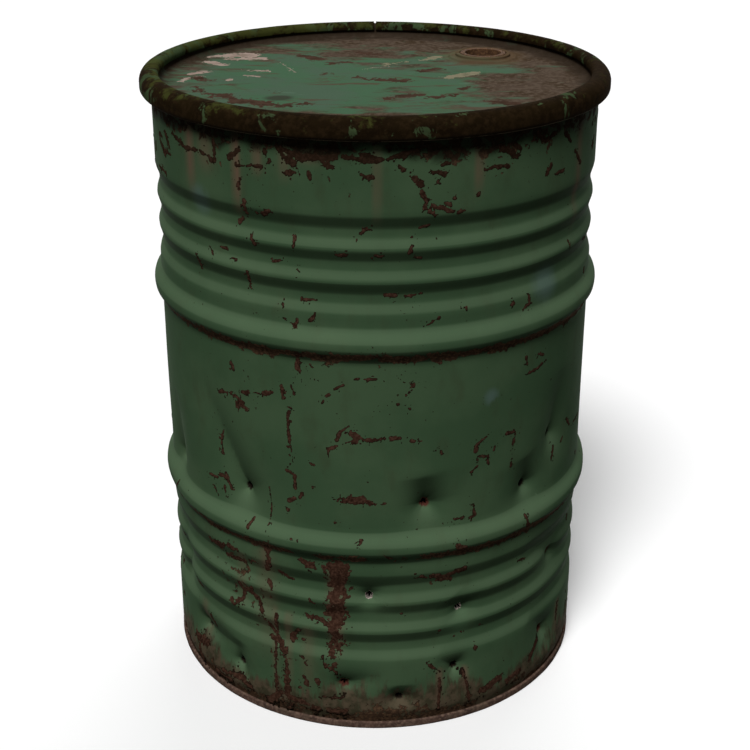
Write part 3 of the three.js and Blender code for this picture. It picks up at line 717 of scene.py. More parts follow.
def raisedMarks(name, marks, surface, toMm, settings, finish):
    # each mark is a patch of fine grid that follows the surface. Inside the outline it stands proud
    # of it, and outside it dips into the sheet, so that the outline is where the two surfaces cross.
    points, faces, edges = [], [], []
    start = 0
    for number, strokes in enumerate(marks):
        scaled = [(stroke[0], np.reshape(stroke[1:], (-1, 2)) * (toMm, 1.0)) for stroke in strokes]
        places = np.concatenate([route for _, route in scaled])
        margin = max(halfWidth for halfWidth, _ in scaled) * 1.8 + 6
        low, high = places.min(0) - margin, places.max(0) + margin
        u, v = np.meshgrid(np.arange(low[0], high[0], settings["step"]),
                           np.arange(low[1], high[1], settings["step"]))
        inside = markField(u, v, scaled, number * 3 + 1)
        grain = 0.05 * fractal(u, v, 3, number) * np.clip(inside, 0, 1)
        top = settings["proud"] + 0.004 * (number % 20)
        proud = np.clip(inside * settings["slope"] + 0.1, -settings["sunk"], top) + grain
        grid = gridFaces(*u.shape, wrapColumns=False)
        grid = grid[(inside.ravel()[grid] > -0.9).any(1)]
        points.append(surface(u / toMm, v, proud).reshape(-1, 3))
        faces.append(grid + start)
        edges.append(inside.ravel())
        start += u.size
    faces = np.concatenate(faces)
    print(name, len(faces), "faces")
    meshPiece(name, np.concatenate(points), faces, finish, wall=settings["wall"],
              fields={"inside": np.concatenate(edges)})


def backMarks():
    # marks for the sides and back, which are worn like the front: chips, short runs and cracks
    draw = np.random.default_rng(11)
    marks = []
    for _ in range(230):
        angle = draw.uniform(66, 294)
        angle = angle - 360 if angle > 180 else angle
        height = draw.choice([draw.uniform(40, 790), draw.uniform(700, 795), draw.uniform(30, 130)])
        width = draw.uniform(1.3, 3.6)
        length = draw.uniform(0, 20) * draw.choice([0.3, 1, 1.6])
        lean = draw.choice([draw.uniform(-0.4, 0.4), draw.uniform(0.6, 1.5)])
        bend = draw.uniform(-3, 3)
        along, up = length * math.cos(lean) / perDegree, length * math.sin(lean)
        marks.append([(width, angle, height, angle + along / 2, height + up / 2 + bend,
                       angle + along, height + up)])
    for angle, top, length in ((96, 262, 90), (131, 540, 70), (-124, 262, 120), (-164, 540, 60)):
        neck = top - length * 0.35
        marks.append([(draw.uniform(5, 8), angle, top, angle, neck),
                      (draw.uniform(2.5, 4), angle, neck, angle - 0.6, top - length)])
    return marks


# Bottom: pressed plate, chuck wall, and the seam folded over the body's hook

bottom = dict(plate=12.0, sheet=1.2, chuck=280.3, fillet=9.0, seam=287.5, seamTop=10.0, corner=2.4,
              cover=283.3, hookEnd=3.2, columns=180, plateRows=39, knocks=0.35, sag=2.2,
              uneven=0.6)


def bottomPan(finish):
    # profile from the middle of the underside out and round the seam, turned about the drum's axis.
    # The seam wanders in and out a little, from years of being rolled on its edge.
    corners = [(bottom["chuck"], 0), (bottom["seam"], 0), (bottom["seam"], bottom["seamTop"]),
               (bottom["cover"], bottom["seamTop"]), (bottom["cover"], bottom["hookEnd"])]
    fillet = arcPoints(bottom["chuck"] - bottom["fillet"], bottom["plate"] - bottom["fillet"],
                       bottom["fillet"], 90, 0, 8)
    rim = rounded([fillet[-1]] + corners, bottom["corner"], 6, closed=False)
    plate = np.linspace((0, bottom["plate"]), (fillet[0][0], bottom["plate"]), bottom["plateRows"] + 1)[:-1]
    path = np.concatenate([plate, fillet[:-1], rim])
    angle, radius = np.meshgrid(fullTurn(bottom["columns"]), path[:, 0])
    height = np.repeat(path[:, 1:], bottom["columns"], 1)
    outer = ramp(radius, 284.5, 287.5)
    radius = radius + outer * bottom["knocks"] * fractal(angle * 5, 0 * angle, 22, 8)
    across, along = radius * np.cos(np.radians(angle)), radius * np.sin(np.radians(angle))
    uneven = bottom["uneven"] * fractal(across + 400, along + 400, 80, 4)
    sag = ramp(radius, 260, 60) * bottom["sag"] + uneven
    height = height - np.where(height > 11.9, sag * ramp(radius, 268, 240), 0)
    points = around(radius, angle, height)
    meshPiece("bottom_pan", points, gridFaces(len(path), bottom["columns"]), finish,
              "bottom_head", wall=bottom["sheet"])


# Lid: crown over the body's curl, dished plate, and the raised boss crimped round the bung's flange

lid = dict(plate=808.0, sheet=1.2, wall=278.5, fillet=8.0, crownInner=5.0, crownOuter=12.0,
           crownTop=826.0, skirt=298.7, skirtLow=808.0, columns=180,
           bung=bungCentre, boss=48.0, bossTop=810.5, bossSlope=2.5, crimpTop=814.2,
           crimpOuter=37.4, crimpInner=32.2, uneven=0.5, plateRows=44)


def lidPlate(finish):
    # circles from the skirt's edge in over the crown and the plate to the crimp. Across the plate
    # their centre moves evenly from the drum's axis to the bung's, so that they never cross.
    crownIn = (lid["wall"] + lid["crownInner"], lid["crownTop"] - lid["crownInner"])
    crownOut = (lid["skirt"] - lid["crownOuter"], lid["crownTop"] - lid["crownOuter"])
    outer = np.concatenate([
        [(lid["skirt"], lid["skirtLow"])],
        arcPoints(*crownOut, lid["crownOuter"], 0, 90, 10),
        arcPoints(*crownIn, lid["crownInner"], 90, 180, 8),
        arcPoints(lid["wall"] - lid["fillet"], lid["plate"] + lid["fillet"], lid["fillet"], 0, -90, 8),
    ])
    bossCorners = [(lid["boss"], lid["plate"]), (lid["boss"] - lid["bossSlope"], lid["bossTop"]),
                   (lid["crimpOuter"], lid["bossTop"]), (lid["crimpOuter"], lid["crimpTop"]),
                   (lid["crimpInner"], lid["crimpTop"])]
    inner = spaced(rounded([(lid["boss"] + 4, lid["plate"])] + bossCorners, 1.4, 4, closed=False), 1.6)
    share = np.linspace(0, 1, lid["plateRows"] + 2)[1:-1]
    across = outer[-1] + (inner[0] - outer[-1]) * share[:, None]
    path = np.concatenate([outer, across, inner])
    shift = np.concatenate([np.zeros(len(outer)), share, np.ones(len(inner))])[:, None]
    angle = fullTurn(lid["columns"])
    points = around(path[:, :1], angle, path[:, 1:])
    points[..., :2] += shift[..., None] * np.array(lid["bung"])
    middle = np.repeat([0.0, 1.0, 0.0], [len(outer), lid["plateRows"], len(inner)])[:, None]
    inward = ramp(np.hypot(points[..., 0], points[..., 1]), 268, 200)
    fromBung = ramp(np.hypot(points[..., 0] - lid["bung"][0], points[..., 1] - lid["bung"][1]), 52, 90)
    points[..., 2] += lid["uneven"] * middle * inward * fromBung * fractal(
        points[..., 0] + 500, points[..., 1] + 500, 110, 6)
    meshPiece("lid_plate", points, gridFaces(len(path), lid["columns"]), finish,
              "lid", wall=lid["sheet"])


# Closing ring: a C section over the crown and under the curl, open at the back

ring = dict(sheet=2.0, low=801.5, outside=301.0, corner=6.0, hookReach=11.3, lip=276.2,
            lipLow=817.3, gap=3.0, innerArc=(283.5, 821.0, 7.3), outerArc=(286.7, 814.0, 14.3),
            columns=300, knocks=0.25)


def ringBand(finish):
    # section from the hook out, up, over and down to the inner lip, carried round from one side of
    # the gap to the other, and a little bruised
    hookEnd = (ring["outside"] - ring["hookReach"], ring["low"])
    cornerStart = (ring["outside"] - ring["corner"], ring["low"])
    path = np.concatenate([
        np.linspace(hookEnd, cornerStart, 4)[:-1],
        arcPoints(cornerStart[0], ring["low"] + ring["corner"], ring["corner"], -90, 0, 8),
        arcPoints(*ring["outerArc"], 0, 90, 14),
        arcPoints(*ring["innerArc"], 90, 180, 10),
        [(ring["lip"], ring["lipLow"])],
    ])
    path = spaced(path, 3)
    half = math.degrees(math.asin(ring["gap"] / 2 / ring["outside"]))
    angle = np.linspace(-180 + half, 180 - half, ring["columns"])[None]
    bruise = ring["knocks"] * fractal(angle * 5.2, path[:, 1:], 26, 17)
    points = around(path[:, :1] + bruise, angle, path[:, 1:] + bruise * 0.4)
    faces = gridFaces(len(path), ring["columns"], wrapColumns=False)
    meshPiece("ring_band", points, faces, finish, "closing_ring",
              wall=ring["sheet"])


def turnedRing(name, corners, softening, columns, finish, node, body="drum", centre=(0, 0)):
    # a closed section, anticlockwise in the radius and height plane, turned about an upright axis
    path = rounded(corners, softening, 5)
    angle = fullTurn(columns)
    points = around(path[:, :1], angle, path[:, 1:])
    points[..., :2] += centre
    faces = gridFaces(len(path), columns, wrapRows=True)
    meshPiece(name, points, faces, finish, node, body, crease=50)


# Bung: flange, plug with its pipe thread, and the two gaskets

bung = dict(centre=bungCentre, pitch=2.309, threadHeight=0.55, threadRows=60, columns=96,
            shank=28.8, head=31.0, seat=810.1, headTop=814.5, low=797.6, cup=24.5, cupFloor=800.6,
            padWidth=16.0, padReach=7.0, padTop=809.6)


def plugCup(finish):
    # a cup turned about the bung's axis, from its outer middle round the thread and the head and
    # down to the cup's floor. The thread is a wave whose phase goes once round for each pitch.
    shank, low, seat, rows = bung["shank"], bung["low"], bung["seat"], bung["threadRows"]
    rise = np.linspace(low + 1, seat - 1, rows)
    edge = rounded([(20, low), (shank - 1, low), (shank - 1, rise[0])], 1, 3, closed=False)
    outside = np.concatenate([[(0, low), (14, low)], edge, np.stack([np.full(rows, shank), rise], -1)])
    head = rounded([(shank - 0.5, seat), (bung["head"], seat), (bung["head"], bung["headTop"]),
                    (bung["cup"], bung["headTop"]), (bung["cup"], bung["cupFloor"]),
                    (12, bung["cupFloor"])], 1.0, 5, closed=False)
    path = np.concatenate([outside, head, [(0, bung["cupFloor"])]])
    angle = fullTurn(bung["columns"])
    height = np.repeat(path[:, 1:], bung["columns"], 1)
    radius = np.repeat(path[:, :1], bung["columns"], 1)
    onThread = slice(len(outside) - rows, len(outside))
    phase = (height[onThread] / bung["pitch"] - angle / 360) * 2 * np.pi
    fade = ramp(height[onThread], rise[0], rise[0] + 1.5) * ramp(height[onThread], rise[-1], rise[-1] - 1.5)
    radius[onThread] = shank - 0.3 + bung["threadHeight"] * np.sin(phase) * fade
    points = around(radius, angle, height)
    points[..., :2] += bung["centre"]
    meshPiece("plug_cup", points, gridFaces(len(path), bung["columns"]), finish,
              "bung_plug", "plug", crease=40)


def roundedBlock(name, low, high, softening, finish, body="drum"):
    # a box whose edges are rounded: each point of a fine cube is pulled in to a smaller box and then
    # pushed out by the softening radius
    low, high = np.array(low, float), np.array(high, float)
    block = bmesh.new()
    bmesh.ops.create_cube(block, size=2)
    bmesh.ops.subdivide_edges(block, edges=block.edges, cuts=7, use_grid_fill=True)
    mesh = bpy.data.meshes.new(name)
    block.to_mesh(mesh)
    block.free()
    spots = np.empty(len(mesh.vertices) * 3, np.float32)
    mesh.vertices.foreach_get("co", spots)
    spots = spots.reshape(-1, 3)
    spots = np.sign(spots) * np.abs(spots) ** 0.5
    middle, half = (low + high) / 2, (high - low) / 2
    core = np.clip(spots * half, softening - half, half - softening)
    push = spots * half - core
    length = np.maximum(np.linalg.norm(push, axis=1, keepdims=True), 1e-6)
    placed = (middle + core + push / length * np.minimum(length, softening)) * mm
    mesh.vertices.foreach_set("co", placed.astype(np.float32).ravel())
    mesh.shade_smooth()
    piece = linked(name, mesh, finish)
    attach(piece, body)


def plugPads(finish):
    # the two pads inside the cup that the wrench turns
    for side, name in ((-1, "plug_pad_left"), (1, "plug_pad_right")):
        inner, outer = bung["cup"] - bung["padReach"], bung["cup"] + 1.5
        x = sorted((bung["centre"][0] + side * inner, bung["centre"][0] + side * outer))
        roundedBlock(name, (x[0], bung["centre"][1] - bung["padWidth"] / 2, bung["cupFloor"] - 1.5),
                     (x[1], bung["centre"][1] + bung["padWidth"] / 2, bung["padTop"]), 1.6, finish,
                     "plug")


flange = dict(bore=29.7, seatRadius=31.4, seat=808.2, top=812.7, neck=35.9, base=42.0, baseTop=807.2,
              baseLow=804.2, collar=33.0, low=796.0)


def flangePieces(steel, rubber):
    # the flange's section names its corners from the bore's low end outwards and round
    corners = ("bore low", "collar low", "collar baseLow", "base baseLow", "base baseTop",
               "neck baseTop", "neck top", "seatRadius top", "seatRadius seat", "bore seat")
    section = [[flange[size] for size in corner.split()] for corner in corners]
    turnedRing("flange_body", section, 0.5, bung["columns"], steel, "bung_flange",
               centre=bung["centre"])
    for name, node, rider, inner in (("flange_seal", "bung_flange_gasket", "drum", flange["neck"]),
                                     ("plug_seal", "bung_plug_gasket", "plug_gasket", bung["shank"])):
        low, high = frameBox(node)
        outer, inner = (high[0] - low[0]) / 2, inner + 0.3
        turnedRing(name, [(inner, low[2]), (outer, low[2]), (outer, high[2]), (inner, high[2])], 0.4,
                   bung["columns"], rubber, node, rider, bung["centre"])


seal = dict(clearance=0.8, slopeIn=1.5, slopeDown=3.2, topIn=5.0, topOut=1.0, softening=1.5)


def lidSeal(rubber):
    # the crescent of rubber between the lid's crown and the body's curl
    low, high = frameBox("lid_gasket")
    inner, outer = lid["wall"] + lid["sheet"] + seal["clearance"], high[0]
    section = [(inner, low[2]), (outer, low[2]), (outer - seal["slopeIn"], high[2] - seal["slopeDown"]),
               (outer - seal["topIn"], high[2]), (inner + seal["topOut"], high[2])]
    turnedRing("lid_seal", section, seal["softening"], lid["columns"], rubber,
               "lid_gasket")


# Ring bolt: two forged lugs, a bolt and its jam nut, at the back

bolt = dict(axisY=298.6, axisZ=788.6, radius=5.9, pitch=1.75, threadHeight=0.35, plainShank=26.0,
            hexAcross=19.0, headHeight=7.5, chamfer=0.9, chamferRadius=8.9, washerRadius=9.2,
            shankRows=190, lugRadius=10.6, plainBore=6.6, threadedBore=6.2, ringLow=801.2, columns=48)


def alongBolt(radius, angle, x):
    # a point round the bolt's axis, which lies along X
    turn = np.radians(angle)
    return np.stack(np.broadcast_arrays(x, bolt["axisY"] + radius * np.sin(turn),
                                        bolt["axisZ"] - radius * np.cos(turn)), -1)


def hexRadius(angle, across):
    # distance from the axis to a hexagon's side in each direction, its corners slightly blunted
    offset = (angle + 30) % 60 - 30
    return np.minimum(across / 2 / np.cos(np.radians(offset)), across * 0.565)


def ringBoltPieces(finish):
    # the bolt is turned about its own axis: chamfered hexagon, plain neck, then the thread's wave
    low, high = frameBox("ring_bolt")
    angle = fullTurn(bolt["columns"])
    hexagon = hexRadius(angle, bolt["hexAcross"])
    headEnd = low[0] + bolt["headHeight"]
    threadStart = headEnd + bolt["plainShank"]
    shank = np.linspace(headEnd + 0.1, high[0] - 1.2, bolt["shankRows"])
    head = [low[0], low[0], low[0] + bolt["chamfer"], headEnd - 0.3, headEnd, headEnd]
    x = np.concatenate([head, shank, [high[0], high[0]]])[:, None]
    radius = np.repeat(np.zeros_like(x), bolt["columns"], 1)
    radius[1] = np.minimum(hexagon, bolt["chamferRadius"])[0]
    radius[2:4] = hexagon
    radius[4] = np.minimum(hexagon, bolt["washerRadius"])[0]
    radius[5] = bolt["radius"]
    wave = np.sin((shank[:, None] / bolt["pitch"] - angle / 360) * 2 * np.pi)
    depth = bolt["threadHeight"] * ramp(shank[:, None], threadStart, threadStart + 2)
    radius[6:-2] = bolt["radius"] - depth * (1 - wave)
    radius[-2] = bolt["radius"] - 1.4
    points = alongBolt(radius, angle, x)
    meshPiece("clamp_bolt", points, gridFaces(len(x), bolt["columns"])[:, ::-1], finish,
              "ring_bolt", crease=35)
    low, high = frameBox("ring_jam_nut")
    x = np.array([low[0], low[0], low[0] + bolt["chamfer"], high[0] - bolt["chamfer"], high[0], high[0]])
    radius = np.repeat(hexagon, len(x), 0)
    radius[[1, 4]] = np.minimum(hexagon, bolt["washerRadius"])
    radius[[0, 5]] = bolt["radius"] + 0.3
    points = alongBolt(radius, angle, x[:, None])
    meshPiece("clamp_nut", points, gridFaces(len(x), bolt["columns"], wrapRows=True)[:, ::-1], finish,
              "ring_jam_nut", crease=35)


def ringLugs(finish):
    # section of the lug round its bore, from flat top to round belly, carried along the bolt with its
    # ends softened. The inside of the bore closes each lug.
    angle = fullTurn(bolt["columns"])
    half, top = bolt["lugRadius"], bolt["ringLow"] - bolt["axisZ"]
    across, up = np.sin(np.radians(angle)), -np.cos(np.radians(angle))
    square = np.minimum(half / np.maximum(np.abs(across), 1e-6), top / np.maximum(up, 1e-6))
    section = np.where(up > 0, square, half)
    # how far in from each end a row lies, and how much smaller it is there
    ends, smaller = np.array([0, 0.3, 1.0, 2.2]), np.array([1.4, 0.6, 0.15, 0])
    for node, name, bore in (("ring_lug_plain", "lug_plain", bolt["plainBore"]),
                             ("ring_lug_threaded", "lug_threaded", bolt["threadedBore"])):
        low, high = frameBox(node)
        x = np.concatenate([[low[0]], low[0] + ends, high[0] - ends[::-1], [high[0]]])[:, None]
        radius = section - np.concatenate([[0], smaller, smaller[::-1], [0]])[:, None]
        radius[[0, -1]] = bore
        points = alongBolt(radius, angle, x)
        faces = gridFaces(len(x), bolt["columns"], wrapRows=True)[:, ::-1]
        meshPiece(name, points, faces, finish, node, crease=45)


# Finishes

def rustColour(surface, dark, middle, light, size=9):
    # rust is never one brown: dark scale, brown film and pinkish dust lie over each other in patches
    broad = surface.add("MapRange", surface.grain(size * 2.2, 5, 0.6), 0.36, 0.64)
    fine = surface.add("MapRange", surface.grain(size * 0.45, 4, 0.65), 0.42, 0.66)
    return surface.add("Mix", fine, surface.add("Mix", broad, dark, middle), light)


# where the paint has bloomed to a bluish grey: angle, height, reach in mm
bloomedPatches = [(-47, 706, 26), (47, 600, 34), (30, 470, 16), (130, 640, 30)]


def weatheredEnamel():
    # alkyd enamel on rolled steel: dull green that has gone browner in patches, with chips whose dark
    # edges open on brown rust, and mud and drips over it. Painted light lies on slopes that face up,
    # and painted shade on overhangs, under the ring and below the hoops
    surface = Finish("weathered green enamel")
    add = surface.add
    rust, paintedShade, mud, drips, _ = surface.channels("wear_and_shade")
    bright, reddened, blackened, _, _ = surface.channels("torn")
    lean = surface.channels("lean")[-1]
    patchy = add("MapRange", surface.grain(120, 4, 0.55), 0.38, 0.64)
    grimy = add("MapRange", surface.grain(26, 5, 0.6, stretch=(1, 1, 2.2)), 0.5, 0.78)
    green = add("Mix", patchy, "#3a5038", "#42573e")
    green = surface.tint(green, grimy, 0.35, "#3a3f2c")
    # painted light: slopes that face the sky are lighter
    green = surface.tint(green, add("MapRange", lean, -0.06, -0.34), 0.36, "#5e7358")
    for angle, height, reach in bloomedPatches:
        spot = around(body["radius"], angle, height) * mm
        away = add("Math MULTIPLY_ADD", grimy, 0.012, surface.awayFrom((-spot).tolist()))
        green = surface.tint(green, add("MapRange", away, reach * mm, 0.2 * reach * mm), 0.45, "#5a6e6c")
    # painted shade: overhanging slopes are darker, most in the dents and on the grooves' upper sides
    green = surface.tint(green, add("MapRange", lean, 0.045, 0.3), 0.6, "#141a10")
    green = surface.tint(green, drips, 0.85, "#6a4f42")
    streaky = surface.grain(9, 5, 0.65, stretch=(1, 1, 5))
    splash = add("MapRange", add("Math MULTIPLY_ADD", mud, 0.62, streaky), 0.72, 1.0)
    mudColour = add("Mix", add("MapRange", surface.grain(14, 5, 0.6), 0.4, 0.62), "#35271e", "#503e33")
    green = surface.tint(green, splash, 0.8, mudColour)
    # chips open where ragged noise and the spread of rust together pass a threshold
    ragged = surface.grain(11, 7, 0.62, distortion=0.4)
    level = add("Math MULTIPLY_ADD", rust, 0.42, ragged)
    chip = add("MapRange", level, 0.735, 0.75)
    colour = surface.tint(green, add("MapRange", level, 0.715, 0.737), 0.75, "#1f1a12")
    colour = add("Mix", chip, colour, rustColour(surface, "#2b2018", "#3d2d22", "#54402f"))
    # pinpricks of rust that have come through the paint, more of them in some places than others
    pricks = add("Math MULTIPLY_ADD", surface.grain(55, 3), 0.35, surface.grain(4.2, 2, 0.5))
    colour = add("Mix", add("MapRange", pricks, 0.925, 0.945), colour, "#241b13")
    # painted shade under the ring and below the hoops
    colour = surface.tint(colour, add("MapRange", paintedShade, 0.1, 0.8), 0.8, "#16130d")
    # round the holes the sheet is old and dark, or red with rust, or still bare
    colour = add("Mix", add("MapRange", blackened, 0.25, 0.6), colour, "#1c1712")
    colour = add("Mix", add("MapRange", reddened, 0.3, 0.8), colour, "#4a2a22")
    bare = add("MapRange", add("Math MULTIPLY_ADD", surface.grain(5, 3), 0.8, bright), 1.15, 1.3)
    colour = add("Mix", bare, colour, "#8b817b")
    roughness = add("MapRange", chip, 0, 1, 0.58, 0.88, interpolation_type="LINEAR")
    pits = add("Math MULTIPLY_ADD", surface.grain(3, 4, 0.6), 0.8, -1.2)
    peel = surface.grain(2.2, 2, 0.5)
    return surface.finish(colour, roughness, [(add("Math MULTIPLY", chip, pits), 0.35), (peel, 0.05)],
                          add("Math MULTIPLY", bare, 0.8), specular=0.004)


def rustScab():
    # scaled rust standing a little proud of the paint, darkest along its edge where the paint lifts,
    # and darker under the ring
    surface = Finish("rust scab")
    brown = rustColour(surface, "#291a13", "#38251c", "#4b352a", 8)
    inside = surface.add("Math ADD", surface.channels("inside")[-1], surface.grain(4, 3))
    heart = surface.add("MapRange", inside, 0.5, 1.3)
    colour = surface.add("Mix", heart, "#1e1710", brown)
    height = surface.add("SeparateXYZ", surface.place).node.outputs["Z"]
    colour = surface.tint(colour, surface.add("MapRange", height, 0.72, 0.78), 0.6, "#1f180f")
    crust = surface.grain(2.6, 5, 0.65)
    return surface.finish(colour, 0.9, [(crust, 0.35)], specular=0.004)


def rustyPan():
    # pressed steel that stood in wet earth: brown and pinkish rust under dried mud
    surface = Finish("muddy rusted pressing")
    brown = rustColour(surface, "#40322c", "#523f37", "#6b574b", 12)
    dry = surface.add("MapRange", surface.grain(30, 5, 0.6), 0.48, 0.7)
    crust = surface.grain(2.8, 5, 0.65)
    return surface.finish(surface.tint(brown, dry, 0.6, "#544a3e"), 0.88, [(crust, 0.4)], specular=0.004)


def wornLid():
    # the same enamel on the lid, walked on and rained on: green in the middle and on the left, brown
    # rust film to the right and round the edge, and an orange bung
    surface = Finish("worn lid enamel")
    add = surface.add
    wide = surface.grain(130, 5, 0.62, stretch=(1.8, 1, 1))
    fine = surface.grain(26, 6, 0.66, stretch=(2.4, 1, 1), distortion=0.6)
    spread = add("Math ADD", add("Math MULTIPLY", wide, 1.4), add("Math MULTIPLY", fine, 0.8))
    spread = add("Math MULTIPLY_ADD", surface.awayFrom((0.065, 0.045, 0), (0.9, 1.15, 0)), 2.2, spread)
    rusty = add("MapRange", spread, 1.4, 1.6)
    green = add("Mix", add("MapRange", surface.grain(60, 4), 0.4, 0.62), "#3d5a42", "#425745")
    film = rustColour(surface, "#3b2f23", "#4a3e34", "#564a3f", 16)
    smears = add("MapRange", surface.grain(30, 6, 0.65, stretch=(3.2, 1, 1), distortion=0.8), 0.55, 0.64)
    colour = add("Mix", rusty, surface.tint(green, smears, 0.75, "#4c352a"), film)
    teal = add("MapRange", surface.grain(38, 4, 0.6, stretch=(2.0, 1, 1)), 0.66, 0.7)
    colour = surface.tint(colour, teal, 0.6, "#4c6350")
    # each patch fades out from its middle, or in towards the lid's edge, and is ragged by the fine
    # noise: an old oil stain at the front left, rust-orange round the bung, and painted shade in the
    # recess by the ring
    bungShift = [-place * mm for place in lid["bung"]] + [0]
    for shift, scale, ragged, start, full, strength, over in (
            ((0.116, 0.145, 0), (1.0, 1.3, 0), 0.02, 0.034, 0.022, 0.7, "#2a1f1c"),
            (bungShift, (1, 1, 0), 0.03, 0.085, 0.05, 0.75, "#54432f"),
            ((0, 0, 0), (1, 1, 0), 0.05, 0.272, 0.302, 0.85, "#2a221a")):
        away = add("Math MULTIPLY_ADD", fine, ragged, surface.awayFrom(shift, scale))
        colour = surface.tint(colour, add("MapRange", away, start, full), strength, over)
    # below the plate the sheet is dark
    height = add("SeparateXYZ", surface.place).node.outputs["Z"]
    colour = add("Mix", add("MapRange", height, 0.8068, 0.8072), "#241c15", colour)
    grit = surface.grain(2.4, 4, 0.6)
    roughness = add("MapRange", rusty, 0, 1, 0.6, 0.85, interpolation_type="LINEAR")
    return surface.finish(colour, roughness, [(fine, 0.25), (grit, 0.12)], specular=0.003)


def smearedFilm(name, dark, light):
    # a thin film dragged over the plate, so that it is streaked along the drag and broken at its edges
    surface = Finish(name)
    broken = surface.add("MapRange", surface.grain(7, 5, 0.7, stretch=(2.5, 1, 1)), 0.36, 0.58)
    colour = surface.add("Mix", broken, dark, light)
    return surface.finish(colour, 0.8, [(surface.grain(2, 4), 0.1)], specular=0.003)


def oliveRing():
    # galvanised band under olive paint, gone dark brown, with moss and the last green paint on top,
    # painted shade low on its outside and a painted highlight along its lower edge
    surface = Finish("rusted olive ring")
    add = surface.add
    brown = rustColour(surface, "#171008", "#1d150a", "#261c10", 20)
    place = add("SeparateXYZ", surface.place).node.outputs
    ragged = surface.grain(24, 6, 0.62, stretch=(1, 1, 1.4), distortion=0.4)
    # paint is left mostly on the left and back of the ring
    where = add("Math MULTIPLY_ADD", place["X"], -0.22, add("Math MULTIPLY", place["Y"], 0.2))
    level = add("Math MULTIPLY_ADD", surface.grain(95, 3, 0.5), 0.55, add("Math ADD", ragged, where))
    green = add("Mix", add("MapRange", surface.grain(22, 4), 0.4, 0.62), "#37452d", "#425437")
    colour = surface.tint(brown, add("MapRange", level, 0.86, 0.9), 0.8, green)
    higher = add("Math MULTIPLY", add("MapRange", place["Z"], 0.812, 0.826), 0.1)
    mossy = add("Math ADD", surface.grain(34, 6, 0.7), add("Math MULTIPLY_ADD", where, 0.9, higher))
    colour = surface.tint(colour, add("MapRange", mossy, 0.6, 0.72), 0.8, "#3b3f1d")
    # painted shade: the ring grows darker down towards its lower edge
    colour = surface.tint(colour, add("MapRange", place["Z"], 0.8105, 0.8025), 0.6, "#15100a")
    # a painted highlight along the lower edge, broken up by the ragged noise
    edge = add("Math ABSOLUTE", add("Math SUBTRACT", place["Z"], 0.8031))
    paintedEdgeHighlight = add("Math MULTIPLY", add("MapRange", edge, 0.0007, 0.0003), add("MapRange", ragged, 0.42, 0.5))
    colour = surface.tint(colour, paintedEdgeHighlight, 0.6, "#5b5446")
    crust = surface.grain(3, 5, 0.6)
    return surface.finish(colour, 0.8, [(ragged, 0.25), (crust, 0.2)], specular=0.004)


def rustedFitting(name, dark, middle, light, size, roughness):
    # plain steel fittings left outside: an even skin of fine rust, smoother where it was machined
    surface = Finish(name)
    colour = rustColour(surface, dark, middle, light, size)
    return surface.finish(colour, roughness, [(surface.grain(1.6, 4, 0.6), 0.15)], specular=0.08)


def perishedRubber():
    # old gasket rubber, grey with bloom and finely cracked
    surface = Finish("perished rubber")
    bloom = surface.add("MapRange", surface.grain(8, 4), 0.45, 0.7)
    colour = surface.tint("#1b1a18", bloom, 0.5, "#343230")
    return surface.finish(colour, 0.9, [(surface.grain(1.2, 3), 0.08)], specular=0.3)


# Marks on the lid: strokes like those on the wall, but with x and y in mm for each point

lidScrapes = [
    [(13, -206, 140, -166, 150, -128, 158), (9, -196, 118, -156, 124), (5, -226, 132, -212, 146)],
    [(7, -240, 24, -222, 40, -188, 52), (5.5, -182, 52, -142, 40)], [(7, -224, 100, -204, 80)],
    [(4.5, -206, -44, -184, -8)], [(4.5, -248, -22, -240, -2), (3, -232, 8, -222, 12)],
    [(3.5, -168, 16, -150, 8)], [(1, -128, 96, -100, 22, -72, -48)], [(1, -30, 40, -4, 62, 20, 70)],
]

lidPaleSmears = [
    [(8, 12, 82, 48, 116)], [(7, 62, 112, 86, 132)], [(8, 96, 2, 132, 30)],
]

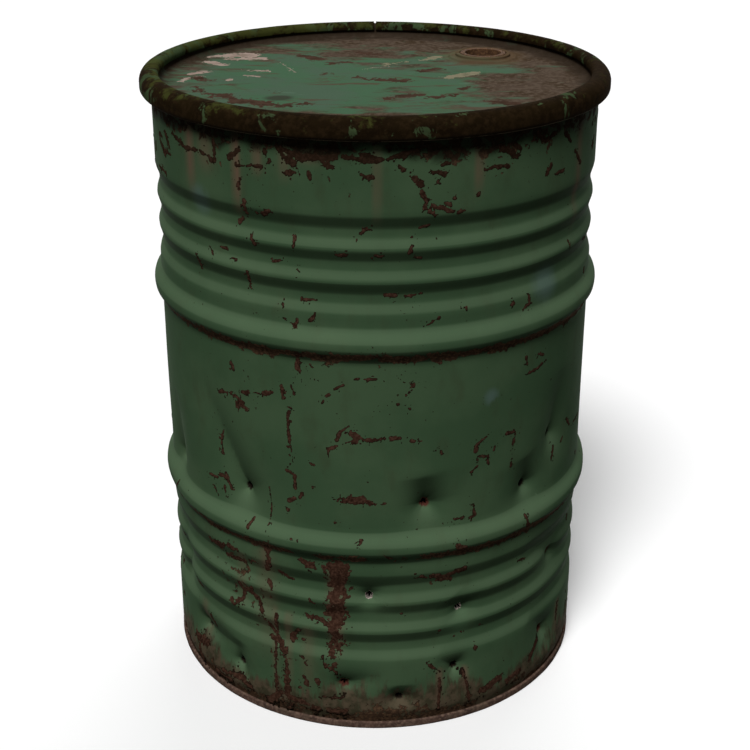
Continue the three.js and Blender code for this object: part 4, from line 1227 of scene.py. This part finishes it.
lidSmears = [
    [(12, -66, -30, -30, 2), (9, -10, -6, 34, -14), (7, -96, -10, -64, 24)],
    [(11, 16, -118, 50, -98), (7, 62, -110, 100, -96)],
    [(9, -104, 140, -74, 116), (6, -60, 92, -34, 98)],
    [(16, -214, -62, -186, -96), (13, -170, -124, -128, -138), (8, -110, -150, -84, -142)],
    [(9, -150, -66, -124, -84)], [(12, 118, -62, 150, -44), (8, 164, -54, 190, -70)],
    [(8, -20, 160, 16, 146), (6, 34, 156, 66, 168)], [(10, -230, 0, -206, -22)], [(7, 60, 40, 84, 58)],
    [(9, 140, -130, 166, -142)],
]

film = dict(step=1.5, proud=0.1, sunk=0.35, slope=0.3, wall=0.4)


def platePoint(x, y, proud):
    return np.stack(np.broadcast_arrays(x, y, lid["plate"] + proud), -1)


# Making it all

photographersView()
studioRoom()
enamel = weatheredEnamel()
scabFinish = rustScab()
bodyWall(enamel)
bodySeam(enamel)
frontMarks = marksUnderRing + marksUpperGrooves + marksMiddle + marksBelow
raisedMarks("rust_scabs_front", frontMarks, wallPoint, perDegree, scab, scabFinish)
raisedMarks("rust_scabs_back", backMarks(), wallPoint, perDegree, backScab, scabFinish)
bottomPan(rustyPan())
lidPlate(wornLid())
for name, marks, dark, light in (("lid_scrapes", lidScrapes, "#7a6a5e", "#9c8b80"),
                                 ("lid_pale_smears", lidPaleSmears, "#64624e", "#7c7660"),
                                 ("lid_brown_smears", lidSmears, "#33251c", "#45342a")):
    smeared = smearedFilm(name.replace("_", " "), dark, light)
    raisedMarks(name, marks, platePoint, 1.0, film, smeared)
print("lid and bottom")
ringBand(oliveRing())
bungSteel = rustedFitting("orange rusted bung", "#382619", "#4a3424", "#614730", 7, 0.8)
plugCup(bungSteel)
plugPads(bungSteel)
rubber = perishedRubber()
flangePieces(bungSteel, rubber)
lidSeal(rubber)
forged = rustedFitting("rusted forging", "#33261b", "#4a3727", "#5f4936", 6, 0.85)
ringLugs(forged)
ringBoltPieces(rustedFitting("rusted bolt steel", "#3a2c20", "#574432", "#6e5a46", 4, 0.65))
print("ring, bung and bolt")
